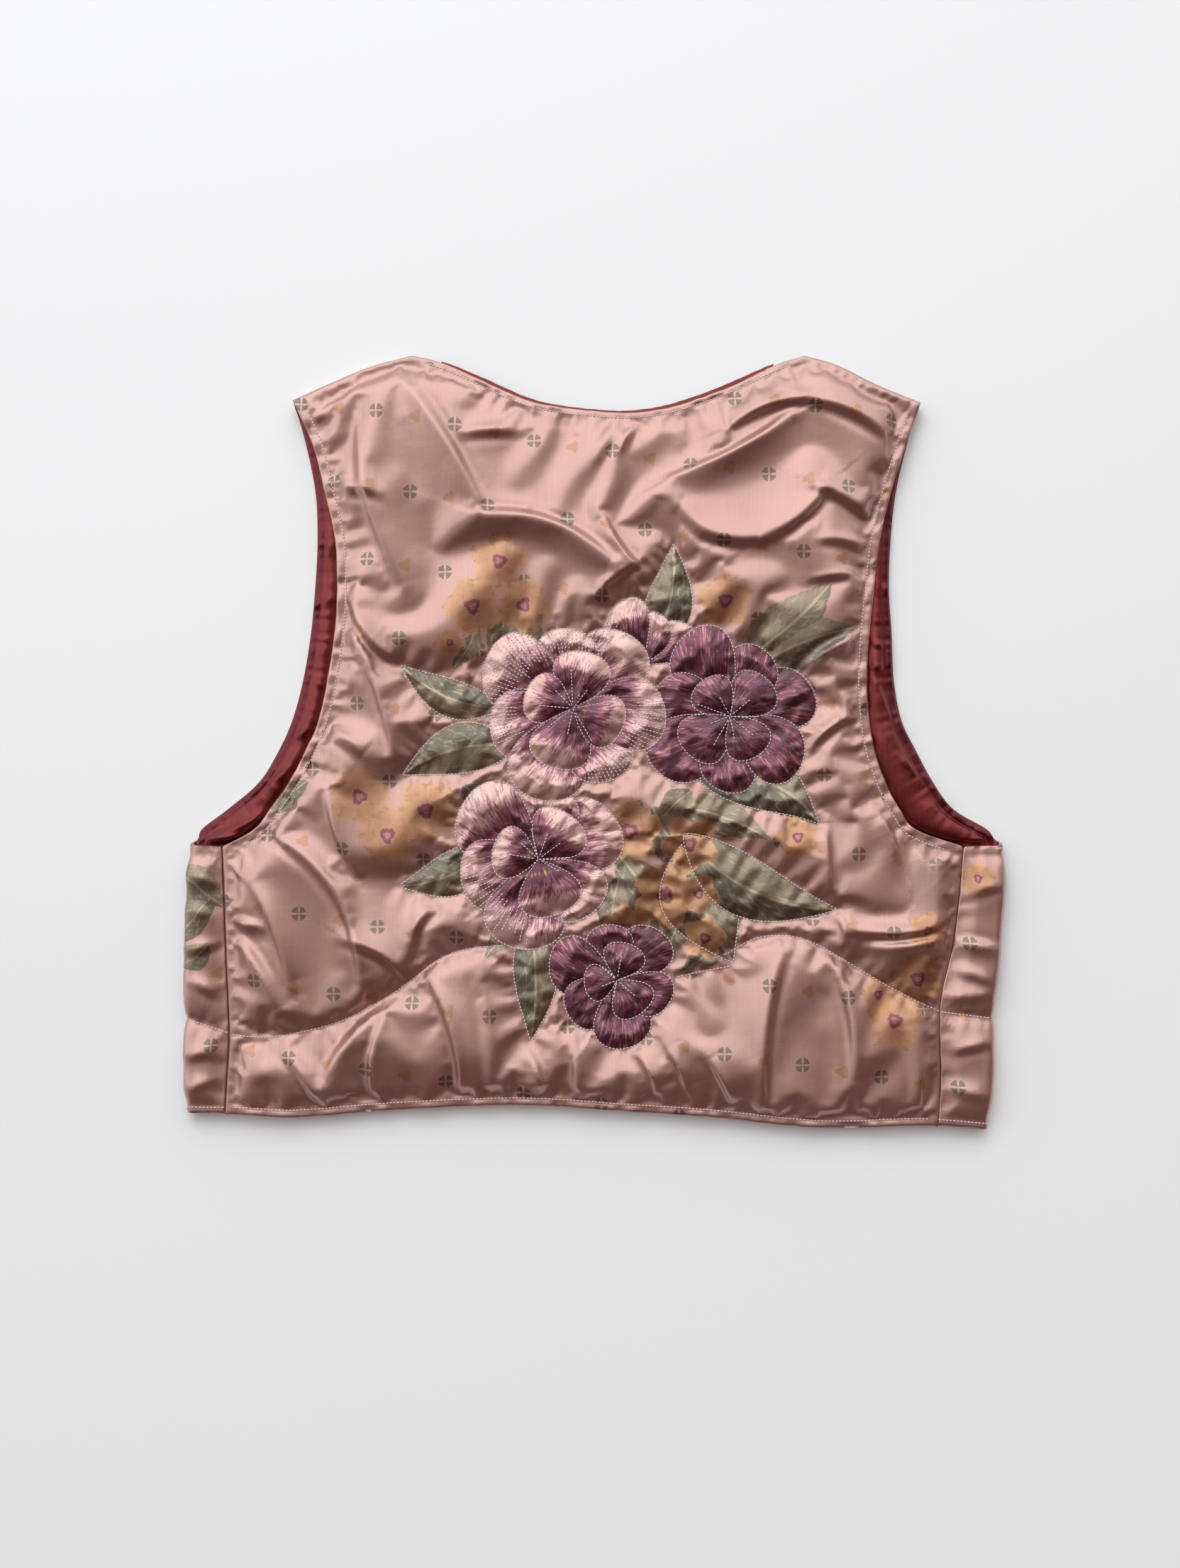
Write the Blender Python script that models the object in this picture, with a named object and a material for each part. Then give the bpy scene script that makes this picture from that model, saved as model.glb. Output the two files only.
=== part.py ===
"""Short quilted satin waistcoat, laid flat with its back uppermost.

The back panel lies on the two fronts. Each front wraps round the side and meets the
back at the side seam, which lies on top. Tables are in millimetres: across is +X,
up towards the shoulders is +Y, and +Z is up from the surface that it lies on. The
origin is under the middle of the garment.
"""
import math
from collections import namedtuple

import bmesh
import bpy
import numpy as np
from mathutils.geometry import delaunay_2d_cdt

MM = 0.001

# Walls: a sewn edge is two satins over flat wadding, and the wadding lofts between seams
EDGE_WALL = 2.4
FRONT_WALL = 5.0
LINING_WALL = 1.0
LAYER_GAP = 0.3
SEAM_GAP = 0.35
BACK_BASE = FRONT_WALL + LINING_WALL + 2 * LAYER_GAP
BACK_LOFT = 6.5
LOFT_REACH = 9.0
FOLD_REACH = 5.0
LEAST_WALL = 1.6

# Spacing of the points on each piece, how near the lattice comes to a line as a share of
# its spacing, and how close two points are merged
BACK_SPACING = 7.8
FRONT_SPACING = 17.0
RIM_SPACING = 7.5
FRONT_RIM_SPACING = 12.0
ARMHOLE_SPACING = 8.4
CLEAR_OF_LINES = 0.62
MERGE_WITHIN = 0.05
CURVE_STEPS = 24

Armhole = namedtuple("Armhole", "up back_left front_left back_right front_right")
ARMHOLES = [
    Armhole(-55, -217.5, -252.0, 204.4, 251.0),
    Armhole(-42, -207.0, -235.0, 194.1, 229.5),
    Armhole(-25, -195.0, -215.3, 185.2, 216.8),
    Armhole(-5, -184.4, -202.8, 178.4, 205.9),
    Armhole(15, -176.1, -193.9, 174.9, 196.4),
    Armhole(40, -170.5, -187.1, 173.4, 191.6),
    Armhole(70, -165.9, -182.1, 174.9, 190.2),
    Armhole(100, -164.2, -179.3, 177.9, 188.4),
    Armhole(130, -165.6, -177.8, 181.5, 189.5),
    Armhole(160, -172.1, -179.0, 188.7, 192.7),
    Armhole(190, -179.8, -184.8, 198.1, 199.6),
]
Side = namedtuple("Side", "up seam_left fold_left seam_right fold_right")
SIDES = [
    Side(-66, -237.6, -260.5, 234.5, 262.4),
    Side(-100, -236.3, -260.8, 231.5, 261.4),
    Side(-130, -235.3, -261.6, 227.5, 259.2),
    Side(-160, -234.0, -262.3, 220.5, 256.0),
    Side(-185, -233.0, -262.4, 219.3, 255.0),
    Side(-210, -234.3, -262.4, 220.0, 254.5),
    Side(-236, -235.8, -262.4, 218.5, 253.0),
]
Place = namedtuple("Place", "across up")
SHOULDER_TIPS = (Place(-192.6, 218.3), Place(207.5, 216.9))
NECK_POINTS = (Place(-116.6, 246.8), Place(133.2, 246.8))
UNDERARM_EDGE = -65.5
SHOULDER_LEFT = [Place(-143.6, 239.5), Place(-170, 228.5)]
SHOULDER_RIGHT = [Place(153.5, 241.0), Place(180.5, 227.9)]
BACK_NECK = [
    Place(-95, 241.3), Place(-62.6, 226.6), Place(-35.6, 216.3), Place(0, 211.6),
    Place(25, 210.6), Place(52, 215.0), Place(86, 227.0), Place(113, 240.0),
]
HEM = [
    Place(-262.4, -236.4), Place(-225, -236.8), Place(-190, -238.4), Place(-130, -233.8),
    Place(-49, -230.6), Place(18, -234.5), Place(73, -238.2), Place(126, -243.9),
    Place(160, -245.3), Place(207, -243.8), Place(255, -247.4),
]
FRONT_NECK = [Place(98, 196), Place(70, 142), Place(38, 90), Place(12, 62)]
CENTRE_FRONT = 1.6
FRONT_HEM_SHORTER = 0.8

# Quilting
WAVES = [
    [Place(-231, -185.5), Place(-205, -187), Place(-163, -177.5), Place(-127, -158.5),
     Place(-102, -139.5), Place(-82, -131.5), Place(-58, -128.8)],
    [Place(82, -135), Place(106, -123.5), Place(136, -126), Place(178, -150),
     Place(200, -162), Place(218, -170.2)],
    [Place(52, -149), Place(68, -145.5), Place(86, -142)],
]

Leaf = namedtuple("Leaf", "stem_across stem_up tip_across tip_up half_width bow")
LEAVES = [
    Leaf(58, -62, 88, -140, 25, -0.06),
    Leaf(66, -22, 143, -52, 19, 0.16),
    Leaf(56, -58, 155, -106, 19, -0.12),
    Leaf(34, 56, 50, 127, 15, -0.08),
    Leaf(-60, 22, -124, 50, 12, 0.10),
    Leaf(-50, -2, -123, -21, 16, -0.10),
    Leaf(-56, -26, -84, -62, 11, 0.08),
    Leaf(-66, -66, -125, -91, 14, 0.10),
    Leaf(-42, -112, -41, -190, 14, 0.05),
]
Flower = namedtuple("Flower", "across up petals reach half_width turn fan inner inner_reach")
FLOWERS = [
    Flower(30, 50, 3, 40, 13, 30, 38, 0, 0.0),
    Flower(86, 17, 7, 56, 20, 12, 51.4, 4, 0.60),
    Flower(14, -151, 6, 42, 17, 40, 60, 3, 0.58),
    Flower(-36, -74, 6, 56, 24, 20, 60, 3, 0.62),
    Flower(-14, 22, 7, 60, 23, 44, 51.4, 4, 0.62),
]
Petal = namedtuple("Petal", "reach width swing bow")
PETALS = [
    Petal(1.0, 1.0, 0, 0.08), Petal(0.86, 0.88, 6, -0.06), Petal(1.08, 1.06, -6, 0.10),
    Petal(0.92, 0.94, 5, -0.09), Petal(1.05, 1.08, -7, 0.05), Petal(0.88, 0.86, 6, -0.10),
    Petal(1.0, 1.0, -3, 0.07),
]
INNER_WIDTH = 0.8
INNER_TURN = 26

Fold = namedtuple("Fold", "from_across from_up to_across to_up bow width rise")
FOLDS = [
    Fold(-121, 226, -74, 150, 4, 10, 3.0),
    Fold(-150, 200, -122, 104, -6, 11, 3.0),
    Fold(-72, 144, 6, 118, 10, 12, 3.4),
    Fold(-163, 120, -128, 55, -8, 9, 3.0),
    Fold(-162, 82, -128, -10, 6, 10, 3.0),
    Fold(-165, 160, -136, 158, 2, 10, 2.2),
    Fold(84, 208, 132, 222, 4, 9, 2.6),
    Fold(134, 222, 184, 200, 4, 9, 2.6),
    Fold(50, 170, 122, 206, -3, 9, 3.0),
    Fold(54, 148, 104, 134, -8, 13, 3.4),
    Fold(108, 136, 146, 172, -6, 13, 3.4),
    Fold(138, 162, 174, 142, 3, 9, 2.6),
    Fold(6, 144, 28, 112, -3, 8, 2.6),
    Fold(140, 56, 168, 70, 2, 8, 2.2),
    Fold(136, 0, 166, 20, 3, 9, 2.2),
    Fold(-200, -60, -150, -145, 12, 10, 3.2),
    Fold(-216, -90, -196, -150, 3, 9, 3.0),
    Fold(-168, -34, -153, -80, -3, 8, 2.4),
    Fold(-232, -122, -204, -166, 4, 9, 2.6),
    Fold(-158, -126, -122, -146, 5, 9, 2.8),
    Fold(-171, -213, -131, -168, 4, 10, 2.6),
    Fold(-108, -146, -86, -224, 7, 9, 3.0),
    Fold(-42, -194, -33, -224, 2, 7, 2.2),
    Fold(147, -50, 154, -98, -3, 9, 2.8),
    Fold(164, -118, 222, -112, -4, 9, 2.6),
    Fold(150, -140, 162, -210, 6, 9, 2.8),
    Fold(118, -136, 108, -226, -4, 9, 2.8),
    Fold(26, -194, 40, -216, 2, 8, 2.2),
    Fold(72, -200, 86, -226, 2, 8, 2.2),
]


def smooth(points, spacing):
    """Curve through the points, a cubic between each two, at even spacing."""
    points = np.asarray(points, float)
    ends = np.vstack([2 * points[0] - points[1], points, 2 * points[-1] - points[-2]])
    t = np.linspace(0, 1, CURVE_STEPS, endpoint=False)[:, None]
    runs = []
    for before, start, end, after in zip(ends[:-3], ends[1:-2], ends[2:-1], ends[3:]):
        turn = before - 2.5 * start + 2 * end - 0.5 * after
        twist = 1.5 * (start - end) + 0.5 * (after - before)
        runs.append(start + 0.5 * t * (end - before) + t**2 * turn + t**3 * twist)
    dense = np.vstack(runs + [points[-1:]])
    along = np.r_[0, np.cumsum(np.linalg.norm(np.diff(dense, axis=0), axis=1))]
    even = np.linspace(0, along[-1], max(2, round(along[-1] / spacing)) + 1)
    return np.column_stack([np.interp(even, along, dense[:, axis]) for axis in (0, 1)])


def closed(outline):
    """The outline with its first point again at its end."""
    return np.vstack([outline, outline[:1]])


def distance(points, lines):
    """Shortest distance from each point to any stretch of the lines."""
    nearest = np.full(len(points), np.inf)
    for line in lines:
        for start, end in zip(line[:-1], line[1:]):
            run = end - start
            share = np.clip((points - start) @ run / max(run @ run, 1e-9), 0, 1)
            gap = np.linalg.norm(points - start - share[:, None] * run, axis=1)
            nearest = np.minimum(nearest, gap)
    return nearest


def inside(points, outline):
    """Which points lie inside the outline, by counting the edges to their right."""
    hits = np.zeros(len(points), bool)
    for start, end in zip(outline, np.roll(outline, -1, axis=0)):
        spans = (start[1] > points[:, 1]) != (end[1] > points[:, 1])
        rise = end[1] - start[1] if end[1] != start[1] else 1.0
        crossing = start[0] + (points[:, 1] - start[1]) / rise * (end[0] - start[0])
        hits ^= spans & (points[:, 0] < crossing)
    return hits


Plan = namedtuple("Plan", "points faces")


def cut_plan(outline, lines, spacing, bare=None):
    """Triangles inside the outline, with edges along the lines and an even lattice.

    Points of the lattice that bare() marks are left out, as where a fold has its own.
    """
    low, high = outline.min(axis=0), outline.max(axis=0)
    rows = np.arange(low[1] + spacing / 2, high[1], spacing * math.sqrt(3) / 2)
    lattice = np.array([
        (across + spacing / 2 * (row % 2), up)
        for row, up in enumerate(rows)
        for across in np.arange(low[0], high[0], spacing)
    ])
    keep = inside(lattice, outline)
    keep &= distance(lattice, [closed(outline), *lines]) > CLEAR_OF_LINES * spacing
    if bare is not None:
        keep &= ~bare(lattice)
    points = [*outline]
    edges = [(i, (i + 1) % len(outline)) for i in range(len(outline))]
    for line in lines:
        edges += [(len(points) + i, len(points) + i + 1) for i in range(len(line) - 1)]
        points += [*line]
    points += [*lattice[keep]]
    corners = [tuple(point) for point in points]
    made = delaunay_2d_cdt(corners, edges, [list(range(len(outline)))], 1, MERGE_WITHIN)
    faces = [tuple(face) for face in made[2]]
    used = sorted({corner for face in faces for corner in face})
    renumber = {old: new for new, old in enumerate(used)}
    return Plan(
        np.array([tuple(made[0][corner]) for corner in used]),
        [tuple(renumber[corner] for corner in face) for face in faces],
    )


def even(line, spacing):
    """The same run of line with its points at even spacing."""
    along = np.r_[0, np.cumsum(np.linalg.norm(np.diff(line, axis=0), axis=1))]
    places = np.linspace(0, along[-1], max(1, round(along[-1] / spacing)) + 1)
    return np.column_stack([np.interp(places, along, line[:, axis]) for axis in (0, 1)])


BLADE_STEPS = 40


def blade(base, tip, half_width, bow, profile):
    """Outline of a leaf or petal: out along one side from its base and back along the other."""
    t = np.linspace(0, 1, BLADE_STEPS)
    rib = tip - base
    across = np.array([-rib[1], rib[0]]) / np.linalg.norm(rib)
    spine = base + t[:, None] * rib + (4 * bow * t * (1 - t) * np.linalg.norm(rib))[:, None] * across
    spread = (half_width * profile(t))[:, None] * across
    return np.vstack([spine + spread, (spine - spread)[-2:0:-1]])


def leaf_profile(t):
    """Width along a leaf: pointed at both ends and widest nearer the stem."""
    return np.sin(math.pi * t**0.8)


def petal_profile(t):
    """Width along a petal: narrow at the heart, widest at two thirds, bluntly pointed."""
    return 2.74 * t * (1 - t) ** 0.55


def petals(flower):
    """Outlines of a flower's outer ring of petals and then of its inner ring."""
    heart = np.array([flower.across, flower.up])
    rings = (
        (flower.petals, flower.reach, flower.half_width, flower.turn, flower.fan),
        (flower.inner, flower.reach * flower.inner_reach, flower.half_width * INNER_WIDTH,
         flower.turn + INNER_TURN, 360 / max(flower.inner, 1)),
    )
    outlines = []
    for count, reach, half_width, turn, fan in rings:
        for index, petal in enumerate(PETALS[:count]):
            around = math.radians(turn + fan * index + petal.swing)
            tip = heart + reach * petal.reach * np.array([math.cos(around), math.sin(around)])
            outlines.append(blade(heart, tip, half_width * petal.width, petal.bow, petal_profile))
    return outlines


def spray_lines():
    """Quilting round each leaf and petal, where no later one lies over it."""
    motifs = []
    for leaf in LEAVES:
        stem = np.array([leaf.stem_across, leaf.stem_up])
        tip = np.array([leaf.tip_across, leaf.tip_up])
        motifs.append(blade(stem, tip, leaf.half_width, leaf.bow, leaf_profile))
    for flower in FLOWERS:
        motifs += petals(flower)
    lines = []
    for index, outline in enumerate(motifs):
        line = closed(outline)
        shows = np.ones(len(line), bool)
        for cover in motifs[index + 1:]:
            shows &= ~inside(line, cover)
        breaks = np.flatnonzero(np.diff(shows.astype(int))) + 1
        for run, seen in zip(np.split(line, breaks), np.split(shows, breaks)):
            if seen[0] and len(run) > 3:
                lines.append(even(run, BACK_SPACING))
    return lines


def fold_rise(points, folds):
    """Height of the creases: soft ridges along bowed lines, fading out at their ends."""
    total = np.zeros(len(points))
    for fold in folds:
        start = np.array([fold.from_across, fold.from_up], float)
        run = np.array([fold.to_across, fold.to_up]) - start
        length = np.linalg.norm(run)
        t = np.clip((points - start) @ run / length**2, 0, 1)
        square = np.array([-run[1], run[0]]) / length
        sideways = (points - start) @ square - 4 * fold.bow * t * (1 - t)
        total += fold.rise * np.exp(-(sideways / fold.width) ** 2) * np.sin(math.pi * t) ** 0.7
    return total


def loft(gap, reach=LOFT_REACH):
    """How far the wadding has risen, from 0 on a seam to 1 well away from it."""
    return 1 - np.exp(-gap / reach)


def cloth_material(name, colour, roughness):
    """Satin of one colour."""
    material = bpy.data.materials.new(name)
    material.use_nodes = True
    shader = material.node_tree.nodes["Principled BSDF"]
    shader.inputs["Base Color"].default_value = (*colour, 1)
    shader.inputs["Roughness"].default_value = roughness
    shader.inputs["Metallic"].default_value = 0
    return material


SHARP_ANGLE = math.radians(50)


def finish(name, bm, colour, roughness):
    """Make the closed mesh an object of its own, facing out and smooth."""
    bmesh.ops.recalc_face_normals(bm, faces=bm.faces[:])
    mesh = bpy.data.meshes.new(name)
    bm.to_mesh(mesh)
    bm.free()
    mesh.shade_smooth()
    mesh.set_sharp_from_angle(angle=SHARP_ANGLE)
    mesh.materials.append(cloth_material(name + "_cloth", colour, roughness))
    piece = bpy.data.objects.new(name, mesh)
    bpy.data.collections["quilted_waistcoat"].objects.link(piece)
    return piece


def surface(bm, places, faces):
    """Lay faces over the places, and number each point so that a copy can be told by it."""
    number = bm.verts.layers.int.new("number")
    verts = [bm.verts.new(place * MM) for place in places]
    for index, vert in enumerate(verts):
        vert[number] = index
    for face in faces:
        bm.faces.new([verts[corner] for corner in face])
    return number


def wall(name, plan, outer, inner, colour, roughness):
    """Closed wall between two surfaces over the same plan."""
    bm = bmesh.new()
    number = surface(bm, outer, plan.faces)
    made = bmesh.ops.extrude_face_region(bm, geom=bm.faces[:])
    for item in made["geom"]:
        if isinstance(item, bmesh.types.BMVert):
            item.co = inner[item[number]] * MM
    return finish(name, bm, colour, roughness)


def flat_backed(name, plan, top, base, colour, roughness):
    """Closed wall whose inside is one plain flat face at the given height."""
    bm = bmesh.new()
    surface(bm, top, plan.faces)
    rim = [edge for edge in bm.edges if edge.is_boundary]
    made = bmesh.ops.extrude_edge_only(bm, edges=rim)["geom"]
    for item in made:
        if isinstance(item, bmesh.types.BMVert):
            item.co.z = base * MM
    lower = [item for item in made if isinstance(item, bmesh.types.BMEdge)]
    bmesh.ops.edgeloop_fill(bm, edges=lower)
    return finish(name, bm, colour, roughness)


SATIN = (0.60, 0.37, 0.32)
SATIN_ROUGHNESS = 0.38
LINING = (0.17, 0.022, 0.020)
LINING_ROUGHNESS = 0.30


def shoulders_and_neck():
    """Top edge of the back from the right shoulder tip to the left one."""
    left_tip, right_tip = SHOULDER_TIPS
    left_neck, right_neck = NECK_POINTS
    runs = [
        smooth([right_tip, *SHOULDER_RIGHT[::-1], right_neck], RIM_SPACING),
        smooth([right_neck, *BACK_NECK[::-1], left_neck], RIM_SPACING),
        smooth([left_neck, *SHOULDER_LEFT, left_tip], RIM_SPACING),
    ]
    return np.vstack([run[:-1] for run in runs])


def hem_line():
    """The hem right across, to read its height at any place."""
    return smooth(HEM, RIM_SPACING)


def hem_up(across):
    """Height of the hem at a place across the garment."""
    line = hem_line()
    return np.interp(across, line[:, 0], line[:, 1])


def back_outline():
    """Cut edge of the back: hem, right seam and armhole, top edge, left armhole and seam."""
    side = {row: [getattr(section, row) for section in SIDES] for row in Side._fields}
    arm = {row: [getattr(section, row) for section in ARMHOLES] for row in Armhole._fields}
    right_seam = smooth(list(zip(side["seam_right"], side["up"]))[::-1], RIM_SPACING)
    left_seam = smooth(list(zip(side["seam_left"], side["up"])), RIM_SPACING)
    right_seam[0, 1], left_seam[-1, 1] = hem_up(right_seam[0, 0]), hem_up(left_seam[-1, 0])
    right_arm = smooth(
        [right_seam[-1], *zip(arm["back_right"], arm["up"]), SHOULDER_TIPS[1]], RIM_SPACING)
    left_arm = smooth(
        [SHOULDER_TIPS[0], *list(zip(arm["back_left"], arm["up"]))[::-1], left_seam[0]], RIM_SPACING)
    width = right_seam[0, 0] - left_seam[-1, 0]
    across = np.linspace(left_seam[-1, 0], right_seam[0, 0], round(width / RIM_SPACING))
    hem = np.column_stack([across, hem_up(across)])
    up_right, down_left = [right_seam[:-1], right_arm[:-1]], [left_arm[:-1], left_seam[:-1]]
    return np.vstack([hem[:-1], *up_right, shoulders_and_neck(), *down_left])


def build_back():
    """Back panel: quilted satin, lofted between its seams, over a plain flat inside."""
    outline = back_outline()
    lines = spray_lines() + [smooth(wave, BACK_SPACING) for wave in WAVES]
    plan = cut_plan(outline, lines, BACK_SPACING)
    to_edge = distance(plan.points, [closed(outline)])
    to_seam = np.minimum(to_edge, distance(plan.points, lines))
    creased = fold_rise(plan.points, FOLDS) * loft(to_seam, FOLD_REACH)
    risen = BACK_LOFT * loft(to_seam) + creased
    top = BACK_BASE + np.maximum(EDGE_WALL + risen, LEAST_WALL)
    places = np.column_stack([plan.points, top])
    flat_backed("back", plan, places, BACK_BASE, SATIN, SATIN_ROUGHNESS)


# Wrap of a front round the side: the middle of its wall runs flat, round and back on top
LOWER_MIDDLE = FRONT_WALL / 2
UPPER_MIDDLE = BACK_BASE + FRONT_WALL / 2
WRAP_RADIUS = (UPPER_MIDDLE - LOWER_MIDDLE) / 2
WRAP_CENTRE = (UPPER_MIDDLE + LOWER_MIDDLE) / 2
WRAP_LENGTH = math.pi * WRAP_RADIUS
WRAP_PROUD = 3.1
WRAP_STEPS = 6
STRIP_LOFT = 4.2
SHOULDER_LIFT = 1.3
UNDERSIDE_LIFT = 0.8
StripWave = namedtuple("StripWave", "fold_up seam_up")
LINING_EDGE = [
    Place(192, -86), Place(160, -40), Place(148, 10), Place(137, 60),
    Place(133, 110), Place(134, 160), Place(141, 204),
]
LINING_TOP_UP = 206
UNDERARM_UP = -61.5
UNDERARM_RUN = 6.0
UNDERARM_DIP = 1.2
SHOULDER_SHORTER = 0.5
NECK_SHORTER = 0.8
CENTRE_TOP = 50.0
FLAT_COLUMNS = 24
STRIP_COLUMNS = 4
SIDE_ROWS = 16
CENTRE_ROWS = 18
WRAP_FOOT, WRAP_HEAD = -252, -55
THIN_FROM_SHOULDER = 8.0
THIN_WITHIN = 6.0
LINING_TUCK = 3.0


class Front:
    """One front, worked out in its flat pattern: outwards from the centre front, and up."""

    def __init__(self, name, side, seam, fold, edge, tip, shoulder, neck_point, wave):
        self.side = side
        self.name = name
        ups = [section.up for section in SIDES]
        seams = [abs(getattr(section, seam)) for section in SIDES]
        folds = [abs(getattr(section, fold)) for section in SIDES]
        self.seam_line = smooth(list(zip(seams, ups))[::-1], FRONT_RIM_SPACING)
        self.fold_line = smooth(list(zip(folds, ups))[::-1], FRONT_RIM_SPACING)
        self.edge = [(abs(getattr(section, edge)), section.up) for section in ARMHOLES]
        self.tip = (abs(tip.across), tip.up - SHOULDER_SHORTER)
        self.shoulder = [(abs(place.across), place.up - SHOULDER_SHORTER) for place in shoulder]
        self.neck_point = (abs(neck_point.across), neck_point.up - NECK_SHORTER)
        shoulder_line = [self.tip, *self.shoulder[::-1], self.neck_point]
        self.shoulder_line = smooth(shoulder_line, FRONT_RIM_SPACING)
        self.wave = wave

    def turn(self, up):
        """Where the flat stretch ends and the wrap round the side begins."""
        return np.interp(up, self.fold_line[:, 1], self.fold_line[:, 0]) - WRAP_RADIUS - WRAP_PROUD

    def seam(self, up):
        """Pattern place of the side seam, past the wrap."""
        on_top = np.interp(up, self.seam_line[:, 1], self.seam_line[:, 0]) + SEAM_GAP
        return 2 * self.turn(up) + WRAP_LENGTH - on_top

    def place(self, points, offset):
        """Places in space of pattern points, set off outwards from the wall's middle."""
        across, up = points.T
        turn = self.turn(up)
        angle = np.clip((across - turn) / WRAP_RADIUS, 0, math.pi)
        back_in = np.maximum(across - turn - WRAP_LENGTH, 0)
        out = np.minimum(across, turn) - back_in + (WRAP_RADIUS + offset) * np.sin(angle)
        height = WRAP_CENTRE - (WRAP_RADIUS + offset) * np.cos(angle)
        return np.column_stack([self.side * out, up, height])

    def outline(self):
        """Cut edge in the pattern: hem, side seam, armhole, shoulder, neck and centre front."""
        low = hem_up(self.side * self.fold_line[0, 0]) + FRONT_HEM_SHORTER
        across = np.linspace(CENTRE_FRONT, self.turn(low), FLAT_COLUMNS)
        round_side = self.turn(low) + np.linspace(0, WRAP_LENGTH, WRAP_STEPS + 1)[1:]
        strip = np.linspace(round_side[-1], self.seam(low), STRIP_COLUMNS)[1:]
        across = np.r_[across, round_side, strip]
        flat = self.place(np.column_stack([across, np.full(len(across), low)]), 0)[:, 0]
        hem = np.column_stack([across, hem_up(flat) + FRONT_HEM_SHORTER])
        ups = np.linspace(hem[-1, 1], SIDES[0].up, SIDE_ROWS)[1:]
        seam = np.column_stack([self.seam(ups), ups])
        seam[-1, 1] = SIDES[0].up
        past = np.array([WRAP_LENGTH + UNDERARM_RUN, WRAP_LENGTH, WRAP_LENGTH / 2, 0])
        heights = (UNDERARM_EDGE, UNDERARM_EDGE, UNDERARM_EDGE + UNDERARM_DIP, UNDERARM_UP)
        under = zip(self.turn(UNDERARM_EDGE) + past, heights)
        armhole = smooth([seam[-1], *under, *self.edge, self.tip], ARMHOLE_SPACING)
        wider = self.neck_point[0] / abs(NECK_POINTS[0].across)
        neck = [(place.across * wider, place.up) for place in FRONT_NECK]
        neck = smooth([self.neck_point, *neck, (CENTRE_FRONT, CENTRE_TOP)], FRONT_RIM_SPACING)
        ups = np.linspace(CENTRE_TOP, hem[0, 1], CENTRE_ROWS)
        centre = np.column_stack([np.full(CENTRE_ROWS, CENTRE_FRONT), ups])
        edges = [armhole[:-1], self.shoulder_line[:-1], neck[:-1], centre[:-1]]
        return np.vstack([hem, seam[:-1], *edges])

    def lining_edge(self):
        """Inner edge of the front's lining, from the wrap to the armhole's top."""
        low = LINING_EDGE[0].up
        start = (float(self.turn(low)), low)
        armhole = [*self.edge, self.tip]
        top = np.interp(LINING_TOP_UP, [row[1] for row in armhole], [row[0] for row in armhole])
        return [start, *LINING_EDGE, (top + LINING_TUCK, LINING_TOP_UP)]


def build_front(front):
    """A front that wraps round the side, and its lining where the armhole shows it."""
    outline = front.outline()
    ups = np.linspace(WRAP_FOOT, WRAP_HEAD, SIDE_ROWS)
    wraps = [
        np.column_stack([front.turn(ups) + WRAP_LENGTH * step / WRAP_STEPS, ups])
        for step in range(WRAP_STEPS + 1)
    ]
    wave_ends = [(front.turn(front.wave.fold_up) + WRAP_LENGTH, front.wave.fold_up),
                 (front.seam(front.wave.seam_up) + 1, front.wave.seam_up)]
    wave = even(np.array(wave_ends, float), ARMHOLE_SPACING)
    lining_edge = even(np.array(front.lining_edge(), float), FRONT_RIM_SPACING)

    def in_wrap(points):
        past = points[:, 0] - front.turn(points[:, 1])
        return (past > -5) & (past < WRAP_LENGTH + 4) & (points[:, 1] < WRAP_HEAD + 5)

    plan = cut_plan(outline, [*wraps, wave, lining_edge], FRONT_SPACING, in_wrap)
    points = plan.points
    to_edge = distance(points, [closed(outline)])
    to_shoulder = distance(points, [front.shoulder_line])
    on_top = np.clip((points[:, 0] - front.turn(points[:, 1])) / WRAP_LENGTH, 0, 1)
    on_top = on_top**2 * (3 - 2 * on_top)
    flat_inner = EDGE_WALL - LOWER_MIDDLE + (FRONT_WALL - EDGE_WALL) * loft(to_edge, FOLD_REACH)
    near_shoulder = np.clip((THIN_FROM_SHOULDER - to_shoulder) / THIN_WITHIN, 0, 1)
    flat_inner = flat_inner + near_shoulder * (LOWER_MIDDLE + SHOULDER_LIFT - flat_inner)
    flat_outer = LOWER_MIDDLE - UNDERSIDE_LIFT * np.exp(-to_edge)
    strip_seam = np.minimum(to_edge, distance(points, [wave]))
    strip_outer = EDGE_WALL - FRONT_WALL / 2 + STRIP_LOFT * loft(strip_seam)
    outer = front.place(points, flat_outer + on_top * (strip_outer - flat_outer))
    inner = front.place(points, -(flat_inner + on_top * (FRONT_WALL / 2 - flat_inner)))
    wall("front_" + front.name, plan, outer, inner, SATIN, SATIN_ROUGHNESS)

    far_out = 2 * SIDES[0].fold_right
    area = [*front.lining_edge(), (far_out, LINING_TOP_UP), (far_out, LINING_EDGE[0].up)]
    middles = np.array([points[list(face)].mean(axis=0) for face in plan.faces])
    lined = inside(middles, np.array(area)) & (middles[:, 0] < front.turn(middles[:, 1]))
    faces = [face for face, kept in zip(plan.faces, lined) if kept]
    used = sorted({corner for face in faces for corner in face})
    renumber = {old: new for new, old in enumerate(used)}
    part = Plan(points[used], [tuple(renumber[corner] for corner in face) for face in faces])
    lower = inner[used] + (0, 0, LAYER_GAP)
    upper = lower + (0, 0, LINING_WALL)
    wall("front_lining_" + front.name, part, upper, lower, LINING, LINING_ROUGHNESS)


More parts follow.
